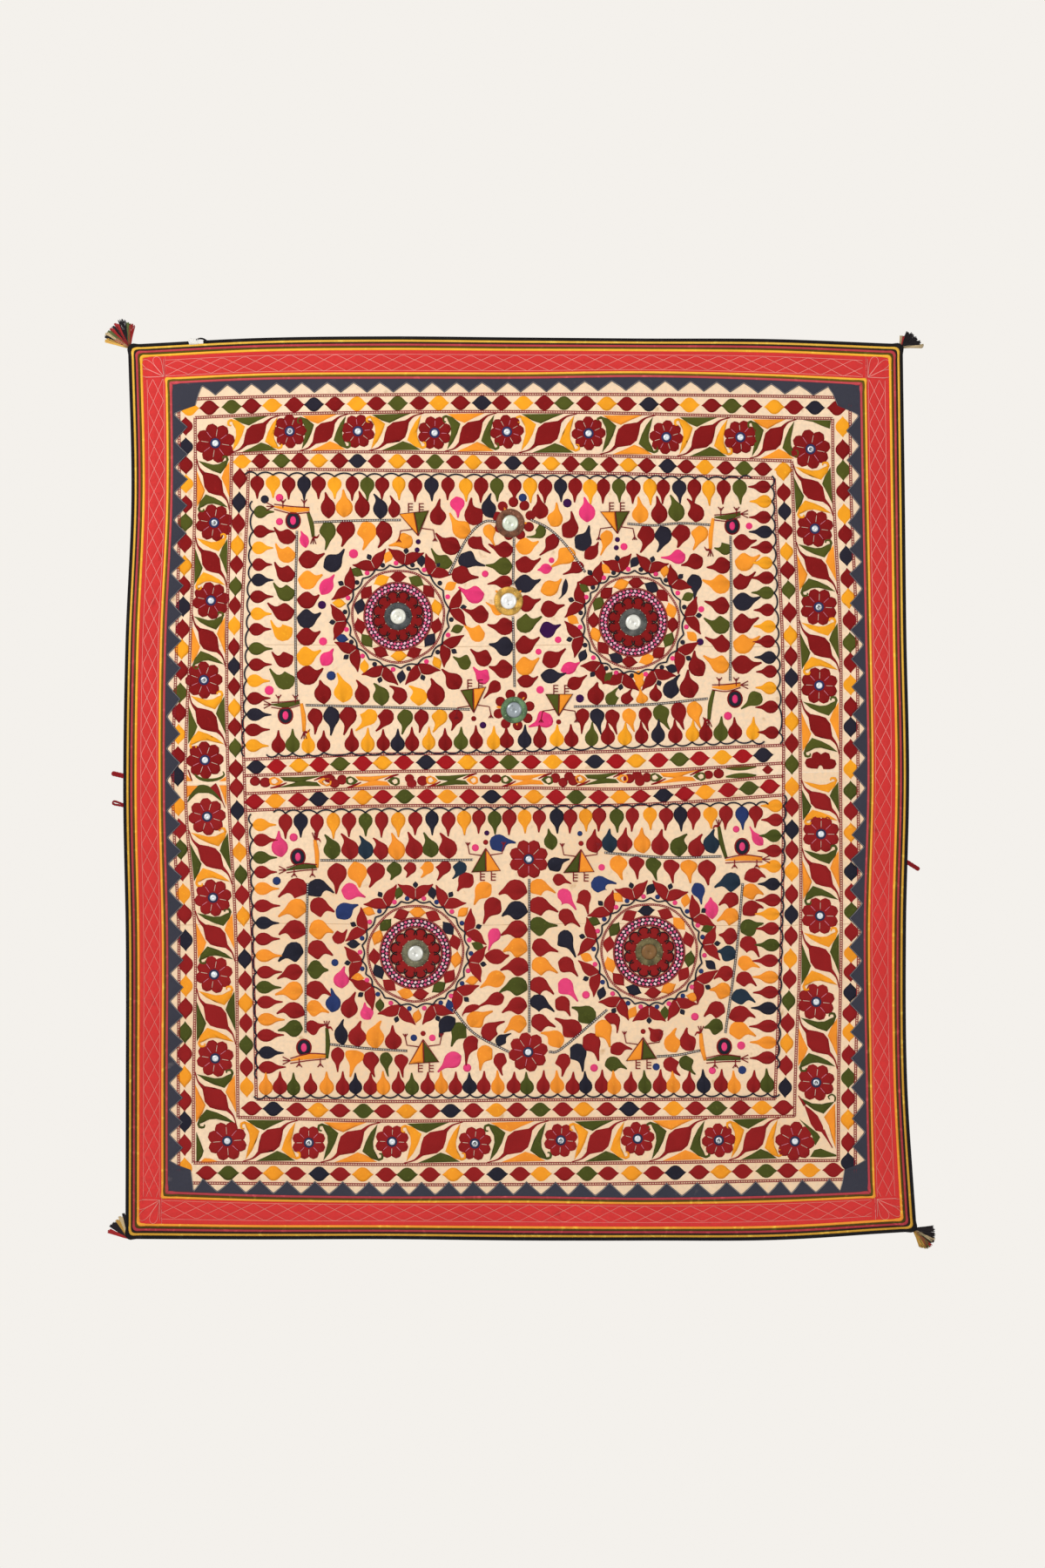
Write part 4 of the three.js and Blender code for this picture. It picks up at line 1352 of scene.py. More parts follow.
# The corners of the border have patches of their own, placed from the corner flower.
LOWER_RIGHT = [
    ("G", (9, 80), (29, 70), (53, 68), (74, 73), (53, 50), (35, 57), (15, 72)),
    ("M", (16, 68), (29, 31), (38, 19), (54, 15), (52, 27), (42, 47), (29, 59)),
    ("G", (7, 42), (20, 32), (42, 15), (47, 7), (38, -8), (35, -4), (32, 9), (23, 23)),
    ("O", (74, 71), (53, 45), (62, 29), (67, 9), (75, -15), (75, 27)),
    ("G", (27, -29), (35, -16), (47, -13), (77, -25), (77, -28), (51, -30)),
]
LOWER_LEFT = [
    ("G", (-57, 18), (-49, -1), (-43, -18), (-46, -28), (-54, -40), (-57, -40)),
    ("O", (-52, -40), (-42, -31), (-31, -32), (-15, -38), (-30, -40)),
]
UPPER_RIGHT = [("G", (-15, 54), (38, 53), (36, 37), (20, 43), (2, 51))]
lower_right, lower_left, upper_right = FLOWERS["right"][-1], FLOWERS["left"][-1], FLOWERS["right"][0]


def moved_by(start, points):
    return [(start[0] + x, start[1] + z) for x, z in points]


for start, shapes in ((lower_right, LOWER_RIGHT), (lower_left, LOWER_LEFT), (upper_right, UPPER_RIGHT)):
    for colour, *outline in shapes:
        patch(colour, moved_by(start, outline), 2)
# At the lower right two maroon stems and a green curl end these patches.
ribbon("M", moved_by(lower_right, ((6, 84), (11, 77), (18, 66))), (0.8, 1.8, 3.0), 5)
ribbon("M", moved_by(lower_right, ((51, 20), (60, 4), (69, -12))), (4.0, 1.8, 0.9), 7)
curl_line = moved_by(lower_right, ((73, 73), (74, 81), (68, 86), (61, 82), (64, 77)))
ribbon("G", curl_line, (1.4, 1.6, 1.6, 1.4, 0.9), 9)

# At the left the seam cuts through a unit: a green bowl above it, and below it the rest of
# a green crescent, a maroon stem and yellow corners.
bowl = [(-597, -793), (-587, -806), (-570, -811), (-551, -809), (-539, -802), (-541, -795)]
ribbon("G", bowl, (0.8, 2.6, 3.2, 2.6, 1.8, 1.0), 13)
crescent = [(-606, -851), (-592, -831), (-577, -827), (-561, -832), (-543, -850)]
ribbon("G", crescent, (0.8, 6.0, 8.0, 5.0, 0.6), 11)
ribbon("M", [(-605, -792), (-598, -812)], (1.4, 1.4), 3)
ribbon("M", [(-560, -821), (-553, -830), (-545, -843), (-537, -862)], (8.0, 6.0, 1.6, 0.8), 9)
patch("O", [(-608, -800), (-597, -813), (-608, -813)])
patch("O", [(-535, -804), (-535, -813), (-549, -813)])
patch("O", [(-608, -821), (-584, -821), (-600, -838), (-608, -844)])
patch("O", [(-548, -820), (-534, -820), (-534, -861), (-541, -838)])
sew("flower_border")

# The seamed middle: between its rows of diamonds runs a strip of paired wedges that cross
# in the middle, with curls at their ends, and clusters of maroon berries.

BERRIES = [
    (-482, -813), (-463, -815), (-345, -808), (-336, -817), (-322, -810), (-198, -808), (-194, -817),
    (-174, -812), (-59, -809), (-39, -808), (70, -807), (84, -815), (95, -804), (103, -812),
    (205, -808), (220, -803), (225, -813), (238, -806), (351, -801), (370, -799),
]
for i, (x, z) in enumerate(BERRIES):
    oval("M", x, z, 10 + math.sin(i), 9 + 0.8 * math.sin(2 * i))
# Each pair: colour, its curls' colour, and the middle line's ends. The last is two plain bars.
PAIRS_ALONG = [
    ("G", "O", (-447, -814), (-350, -813)), ("O", "G", (-307, -813), (-224, -812)),
    ("G", "O", (-160, -812), (-80, -810)), ("O", "G", (-22, -811), (58, -810)),
    ("G", "O", (114, -810), (196, -807)), ("O", "G", (252, -807), (338, -803)),
    ("G", "G", (380, -797), (442, -794)),
]


def pair_spots(start, end, k, *places_of):
    """Places along and across a pair, 50 at its ends, turned about its middle when k is -1."""
    shares = [(0.5 + k * along / 100, k * across) for along, across in places_of]
    return [(mix(start[0], end[0], t), mix(start[1], end[1], t) + across) for t, across in shares]


for colour, curl, *ends in PAIRS_ALONG:
    for k in (1, -1):
        if curl == colour:
            bar = pair_spots(*ends, k, (-45, 8), (-15, 7), (15, 7), (45, 8))
            ribbon(colour, bar, (1.5, 4.5, 4.5, 1.5), 8)
            continue
        wedge = pair_spots(*ends, k, (-40, 9), (-8, 8.5), (46, 11), (15, 3), (0, -2.5), (-32, 1.5))
        patch(colour, wedge, 2)
        hook = pair_spots(*ends, k, (-50, 9.5), (-41, 6.5), (-32, 0), (-42, -7), (-52, -6.5), (-41, 0))
        patch(curl, hook, 2)
        tip = pair_spots(*ends, k, (-48, 8), (-57, 5), (-56, -3), (-49, -5))
        ribbon(curl, tip, (1.6, 2.2, 2.2, 1.4), 7)
        ribbon("M", pair_spots(*ends, k, (-57, -11.5), (-43, -8.5), (-26, -2)), (1.2, 2.2, 1.0), 6)
diamond("M", 460, -792, 22, 16, 0)
sew("middle_strip")

# The edges of the two fields: leaves that stand all round them, unevenly, their blunt feet
# on a navy scallop and their thin tails pointing in.

EDGE_WIDTH = 23
EDGE_WIDTH_DOWN = 21
SCALLOP = 5.5


def chart(text):
    """Rows of a colour letter and numbers."""
    rows = [line.split() for line in text.strip().splitlines()]
    return [(words[0], *map(float, words[1:])) for words in rows]


def places(text):
    """Colour letters, each with the place along the edge that follows it."""
    words = text.split()
    return [(colour, float(place)) for colour, place in zip(words[::2], words[1::2])]


def scallop(feet, inward_by):
    """A navy cord with a cusp at each leaf's foot that arches back between them."""
    for (x0, z0), (x1, z1) in zip(feet, feet[1:]):
        arch = []
        for i in range(7):
            t = i / 6
            back = -SCALLOP * math.sin(math.pi * t) ** 0.7
            arch.append((mix(x0, x1, t) + inward_by[0] * back, mix(z0, z1, t) + inward_by[1] * back))
        NAVY_CORD.append(arch)


def leafy_edge(level, feet_at, tails_at, bow, leaves):
    """The leaves along one side of a field, from the left if it is level, else from the top."""
    first, last = leaves[0][1], leaves[-1][1]
    feet = []
    for i, (colour, along) in enumerate(leaves):
        t = (along - first) / (last - first)
        bowed = bow * math.sin(math.pi * t)
        foot = mix(*feet_at, t) + bowed + 1.2 * math.sin(2.3 * i)
        tail = mix(*tails_at, t) + bowed + 2 * math.sin(1.7 * i)
        lean = (2.5 if level else 2) * math.sin(3.1 * i)
        width = EDGE_WIDTH + math.sin(1.9 * i) if level else EDGE_WIDTH_DOWN
        line = [(along, foot), (along + 0.4 * lean, mix(foot, tail, 0.4)), (along + lean, tail)]
        leaf(colour, *[spot if level else spot[::-1] for spot in line], width)
        feet.append(line[0])
    inner = 1 if tails_at[0] > feet_at[0] else -1
    past = 22 if level else -20
    ends = [(first - past, feet[0][1] - 2 * inner)], [(last + past, feet[-1][1] - 2 * inner)]
    cusps = [spot if level else spot[::-1] for spot in ends[0] + feet + ends[1]]
    scallop(cusps, (0, inner) if level else (inner, 0))


# Each edge: whether it runs level, where its feet lie at its two ends, where its tails lie
# there, how far it bows, and its leaves, each thread with the place of its foot.
FIELD_EDGES = [
    (True, (-251, -259), (-294, -306), 0, (
        "M -478 Y -449 M -420 N -392 M -365 Y -336 M -303 G -276 M -248 Y -218 M -187 N -158 "
        "M -127 Y -95 M -66 G -38 M -4 Y 23 M 52 N 79 M 107 Y 133 M 159 G 186 M 214 Y 243 M 269 "
        "N 297 M 326 Y 351 M 380 G 408"
    )),
    (True, (-762, -737), (-719, -693), -4, (
        "M -439 G -413 Y -384 M -356 M -304 Y -275 M -246 N -220 M -193 Y -163 M -132 G -104 "
        "M -75 Y -44 M -19 N 13 M 42 Y 72 M 100 G 136 M 167 Y 197 M 229 N 258 M 291 Y 321 M 347 "
        "G 373 M 401 Y 432"
    )),
    (True, (-872, -857), (-919, -900), 0, (
        "M -426 N -398 M -368 Y -338 M -309 G -279 M -249 Y -219 M -187 N -157 M -126 Y -98 M -70 "
        "G -42 M -14 Y 13 M 41 N 72 M 98 Y 125 M 151 G 182 M 212 Y 243 M 274 N 299 M 325 Y 354 "
        "M 384 B 412 M 439"
    )),
    (True, (-1390, -1386), (-1348, -1342), 0, (
        "O -462 M -436 G -411 M -380 O -350 M -321 N -297 M -270 O -246 M -219 G -193 M -165 "
        "O -139 M -114 N -87 M -62 O -35 M -7 G 18 M 47 O 74 M 101 N 126 M 154 O 178 M 207 G 235 "
        "M 261 O 287 M 314 N 343 M 373 O 399 M 433 G 460"
    )),
    (False, (-485, -501), (-447, -455), 0, (
        "G -318 M -354 Y -384 M -415 N -443 M -474 Y -505 M -534 G -569 M -599 Y -628 M -661 "
        "N -690 M -719 Y -747"
    )),
    (False, (466, 481), (424, 441), 0, (
        "M -272 Y -299 M -328 N -355 M -383 Y -412 M -439 G -467 M -498 Y -529 M -556 N -586 "
        "M -611 Y -642 M -676 M -724"
    )),
    (False, (-487, -476), (-443, -426), 0, (
        "Y -893 M -921 G -953 M -980 O -1010 M -1042 N -1073 M -1103 O -1133 M -1164 G -1191 "
        "M -1219 O -1250 M -1280 N -1311 M -1339"
    )),
    (False, (488, 476), (447, 425), 0, (
        "Y -858 M -884 G -913 M -941 Y -969 N -1002 M -1031 Y -1057 M -1083 G -1114 M -1142 "
        "O -1173 M -1200 N -1230 M -1262 O -1293 M -1320"
    )),
]
for level, feet_at, tails_at, bow, text in FIELD_EDGES:
    leafy_edge(level, feet_at, tails_at, bow, places(text))
sew("field_edges")

# The medallions: four great flowers, each a mirror in twelve maroon petals outlined in
# black, a band of pink and black interlacing, a ring of diamonds, and an outer ring of
# paired leaves that curl apart, with drops and dots between them.

PETALS = 12
PETAL_REACH = 43
INTERLACE = (47, 60.5)
PETAL_FOOT = 27
PETAL_SIZE = (12.8, 10.1)
PETAL_OUTLINE = 11.6
DIAMOND_RING = 72
LADDER_RING = 83.5
SCALLOP_RING = 93
DASH_RING = (98, 111)
DROP_RING = 110
TIP_RING = 120
DOT_RING = 97
GROWN = (1.01, 1.05)  # the medallions of the upper cloth and of the lower, beside the rings
# Each curled leaf, outwards: the ring, and the share of the way to the next pair.
CURL = ((94, 0.05), (101, 0.17), (107, 0.30), (113, 0.56), (119, 0.83), (125, 1.0))
CURL_WIDTHS = (1.8, 8.4, 10.6, 9.4, 4.0, 0.9)
CURL_HALF = 16.0
# Each medallion: centre, diamonds from an angle with their colours anticlockwise, where
# the paired leaves stand, and the drops after each of them, anticlockwise.
MEDALLIONS = [
    (-219, -510, 90, "MYMNMGMYMNMYMG", (8, 52, 83, 116, 150, 185, 218, 254, 292, 328), "ONOGYBYNYG"),
    (213, -521, 86, "MOMGMOMNMOMGMOMN", (6, 44, 73, 104, 131, 160, 195, 232, 259, 293, 327), "GONOGONGONO"),
    (-187, -1129, 87, "OMGOMNMOMGMOMNM", (23, 59, 90, 121, 155, 188, 217, 254, 289, 318, 351), "ONGONOGOBOG"),
    (242, -1126, 94, "NMGMOMNMOMGMOM", (7, 37, 72, 105, 135, 167, 203, 239, 270, 299, 329), "GONOGONOGON"),
]
petal_outlines, pink_cells, pale_cells = [], [], []
bands_bm = bmesh.new()


def spot_round(cx, cz, r, degrees):
    return at_turn(cx, cz, r, 0, math.radians(degrees))


def arc(cx, cz, r, start=0, end=360, step=6, wave=0.0, waves=1):
    count = max(8, round(abs(end - start) / step))
    line = []
    for i in range(count + 1):
        angle = mix(start, end, i / count)
        line.append(spot_round(cx, cz, r + wave * math.sin(math.radians(waves * angle)), angle))
    return line


for m, (cx, cz, first, colours, pairs, drops) in enumerate(MEDALLIONS):
    lower = m > 1
    grown = GROWN[lower]
    far = (PETAL_REACH + PETAL_FOOT) / 2
    for i in range(PETALS):
        a = 2 * math.pi * (i + 0.5) / PETALS
        x, z = at_turn(cx, cz, far, 0, a)
        oval("M", x, z, *PETAL_SIZE, a)
        turns = [a + math.radians(mix(-105, 105, k / 8)) for k in range(9)]
        petal_outlines.append([at_turn(x, z, PETAL_OUTLINE, 0, b) for b in turns])
    inner, outer = INTERLACE
    bed_section = [(inner, 0.8), (inner + 1.5, 1.5), (outer - 1.5, 1.5), (outer, 0.8)]
    turned_rings(bands_bm, cx, cz, [(grown * r, depth) for r, depth in bed_section], 64)
    for r in (inner - 1.2, outer + 1.2):
        ladder(arc(cx, cz, grown * r, step=8), gap=2.0, pitch=3.6)
    count = 2 * round(math.pi * (inner + outer) / 13)
    for ring_number, r in enumerate((inner + 3.6, outer - 3.6)):
        for i in range(count):
            angle = 360 * (i + ring_number / 2) / count
            slant = math.radians(angle + (38, -38)[ring_number])
            cells_of = (pink_cells, pale_cells)[(i + ring_number) % 2]
            cells_of.append((*spot_round(cx, cz, grown * r, angle), slant, 4.8))
    for i, colour in enumerate(colours):
        angle = first + 360 * i / len(colours) + 2 * math.sin(3.7 * i)
        x, z = spot_round(cx, cz, grown * DIAMOND_RING, angle)
        diamond(colour, x, z, 34, 21, math.radians(angle + 90))
    ladder(arc(cx, cz, grown * LADDER_RING, step=7, wave=0.8, waves=7), gap=2.6, pitch=4)
    for i, angle in enumerate(pairs):
        after = pairs[(i + 1) % len(pairs)] + (360 if i + 1 == len(pairs) else 0)
        gap = after - angle
        half = min(CURL_HALF, gap * 0.46)
        for k in (1, -1):
            spine = [spot_round(cx, cz, grown * r, angle + k * half * share) for r, share in CURL]
            ribbon("M", spine, CURL_WIDTHS, 13)
        x, z = spot_round(cx, cz, grown * TIP_RING, angle)
        diamond("N", x, z, 14, 10, math.radians(angle))
        pale_dashes.append([spot_round(cx, cz, grown * r, angle) for r in DASH_RING])
        middle_angle = angle + gap / 2
        outwards = math.radians(middle_angle)
        x, z = spot_round(cx, cz, grown * DROP_RING, middle_angle)
        diamond(drops[i % len(drops)], x, z, 28, 17, outwards + 0.6 * math.sin(2.3 * i))
        slate = "B" if lower else "N"
        for k, colour in ((1, "P"), (-1, slate)) if m else ((-1, "P"), (1, slate)):
            x, z = spot_round(cx, cz, grown * DOT_RING, middle_angle + k * min(8.5, gap * 0.22))
            oval(colour, x, z, 4.8, sides=9)
        for start, end in ((angle, middle_angle), (middle_angle, after)):
            dip = []
            for t in (0, 0.17, 0.33, 0.5, 0.67, 0.83, 1):
                r = grown * SCALLOP_RING - SCALLOP * math.sin(math.pi * t) + 1.5
                dip.append(spot_round(cx, cz, r, mix(start, end, t)))
            NAVY_CORD.append(dip)
sew("medallions")
bands_bm.loops.layers.uv.verify()
piece_of("medallion_interlaced_bands", bands_bm, floss["N"])

# The fields: leaves that sprout from dark ladder lines and curl towards their tails, dots,
# and drops. Each row of a chart is a leaf: its thread, its foot, its middle, its tail as
# places across and up, and its width.

UPPER_LEAVES = """
M -407 -363 -427 -363 -447 -346 25
O -407 -395 -427 -396 -444 -376 27
M -408 -431 -428 -431 -446 -410 28
G -409 -463 -428 -467 -448 -448 27
M -410 -499 -432 -502 -459 -485 30
Y -414 -531 -433 -540 -453 -517 28
M -412 -583 -431 -590 -451 -575 26
G -410 -621 -430 -628 -455 -606 30
M -402 -405 -381 -405 -354 -394 30
O -403 -442 -382 -443 -358 -433 31
M -405 -479 -383 -480 -364 -470 28
N -405 -512 -384 -514 -361 -503 32
M -406 -546 -384 -547 -362 -537 30
Y -406 -582 -386 -583 -361 -572 32
M -406 -615 -381 -618 -357 -605 32
P -389 -384 -392 -368 -398 -353 15
N -356 -420 -337 -410 -318 -386 30
P -360 -470 -349 -452 -336 -433 22
P -359 -600 -349 -586 -338 -569 22
M -347 -330 -348 -307 -353 -282 24
O -319 -328 -318 -307 -320 -277 28
M -286 -329 -285 -306 -291 -280 25
N -252 -331 -252 -309 -264 -285 24
M -229 -329 -226 -311 -234 -288 20
G -355 -337 -348 -355 -353 -388 27
M -320 -333 -315 -353 -323 -382 31
O -285 -338 -276 -357 -284 -388 32
M -250 -335 -245 -357 -256 -384 28
O -195 -363 -208 -372 -236 -380 27
M -141 -342 -146 -324 -142 -294 27
P -112 -290 -110 -305 -109 -329 24
O -85 -357 -104 -349 -124 -320 30
M -65 -337 -81 -322 -84 -292 32
N -45 -329 -53 -309 -48 -284 24
M 40 -331 42 -314 37 -286 27
O 62 -344 70 -329 72 -301 26
P 128 -337 128 -316 123 -291 27
M 84 -363 98 -347 99 -317 28
G 41 -341 42 -357 17 -364 18
M 66 -358 63 -375 41 -398 23
O -3 -380 17 -381 39 -372 28
O 97 -383 89 -399 62 -419 30
N 107 -384 122 -371 132 -343 30
P 64 -421 50 -423 37 -425 17
M -3 -410 17 -415 43 -403 28
M 115 -409 109 -420 84 -433 22
M 124 -404 138 -391 149 -373 21
O 163 -352 164 -367 153 -398 21
N -5 -447 17 -450 43 -442 30
N 89 -441 87 -461 76 -478 9
O 43 -464 63 -457 81 -441 26
M 3 -487 19 -486 43 -478 28
M 43 -499 61 -496 87 -489 28
G 0 -517 17 -523 45 -510 32
U 41 -537 58 -534 80 -525 27
M -3 -560 16 -562 41 -548 31
M 46 -594 64 -588 89 -569 29
O -3 -600 17 -601 40 -586 31
P 80 -610 98 -604 115 -594 20
N 43 -618 64 -620 90 -614 24
M 0 -627 19 -629 38 -620 22
M 92 -639 107 -632 128 -618 22
P 60 -690 49 -700 21 -713 30
M -104 -385 -125 -379 -150 -357 30
G -119 -411 -138 -409 -158 -385 24
N -103 -395 -91 -406 -59 -417 30
M -81 -363 -76 -374 -49 -394 25
O -50 -341 -51 -355 -41 -381 21
M -8 -384 -26 -387 -53 -377 27
G -9 -417 -28 -418 -58 -416 29
M -117 -423 -101 -434 -71 -438 32
M -9 -449 -26 -447 -55 -451 22
P -61 -468 -81 -470 -108 -456 29
M -53 -504 -70 -506 -100 -496 30
O -28 -505 -38 -498 -58 -484 16
M -7 -522 -26 -529 -55 -525 29
O -60 -540 -75 -541 -97 -526 28
N -7 -565 -26 -565 -52 -561 32
M -47 -588 -64 -586 -86 -570 28
G -85 -595 -98 -594 -118 -584 25
M -9 -602 -28 -607 -52 -602 31
P -51 -624 -64 -620 -81 -603 26
M -107 -643 -118 -628 -139 -607 28
M -32 -632 -42 -640 -62 -661 20
M -355 -671 -358 -648 -363 -627 28
Y -321 -668 -320 -646 -331 -614 31
M -286 -672 -285 -650 -296 -627 25
G -249 -674 -251 -653 -264 -633 27
M -216 -672 -217 -653 -235 -638 25
Y -182 -674 -182 -655 -199 -638 28
M -150 -675 -150 -650 -159 -624 30
M -376 -679 -371 -697 -372 -727 25
N -348 -677 -341 -696 -343 -729 27
M -316 -677 -311 -695 -319 -728 29
Y -275 -681 -274 -696 -297 -720 29
M -245 -681 -242 -697 -260 -721 27
G -209 -681 -206 -698 -212 -727 26
M -178 -681 -176 -698 -180 -724 24
Y -145 -681 -143 -697 -155 -723 26
M -114 -681 -113 -696 -121 -720 24
O 224 -339 226 -320 222 -290 27
M 259 -340 261 -319 256 -289 27
G 292 -336 292 -315 281 -287 27
M 327 -337 328 -318 312 -294 27
M 229 -345 237 -363 226 -393 29
N 262 -345 268 -364 257 -392 29
M 296 -342 301 -360 294 -384 31
O 333 -344 335 -360 323 -388 28
P 308 -396 294 -401 264 -402 24
M 340 -402 325 -410 301 -416 27
M 391 -411 374 -417 348 -420 28
G 389 -378 380 -386 362 -384 22
O 390 -446 371 -451 340 -443 32
N 321 -433 326 -450 325 -478 25
M 390 -490 373 -490 344 -482 29
G 389 -520 371 -526 343 -513 30
M 389 -556 374 -560 345 -548 30
O 389 -597 371 -598 342 -582 30
M 341 -619 329 -600 326 -573 28
M 323 -659 315 -640 314 -608 32
N 283 -661 283 -642 299 -617 27
M 397 -371 416 -374 440 -370 27
O 400 -408 420 -410 446 -397 30
M 397 -443 413 -446 438 -428 27
N 396 -481 418 -483 447 -474 30
M 397 -520 416 -523 444 -512 33
O 397 -557 418 -561 446 -546 32
M 394 -595 417 -599 449 -595 31
G 447 -652 436 -662 411 -680 25
M 147 -673 144 -652 148 -631 28
G 180 -672 174 -660 185 -641 23
M 204 -671 202 -660 211 -643 21
O 231 -670 229 -661 225 -641 20
O 223 -610 223 -622 226 -645 17
M 256 -667 254 -652 255 -634 21
M 120 -679 120 -694 118 -726 22
N 147 -679 147 -695 154 -727 24
M 175 -681 175 -696 183 -727 24
O 205 -679 206 -695 215 -722 23
M 238 -677 235 -693 241 -721 22
G 263 -672 265 -690 280 -718 27
M 295 -666 297 -688 306 -718 25
O 327 -666 326 -685 337 -716 26
"""

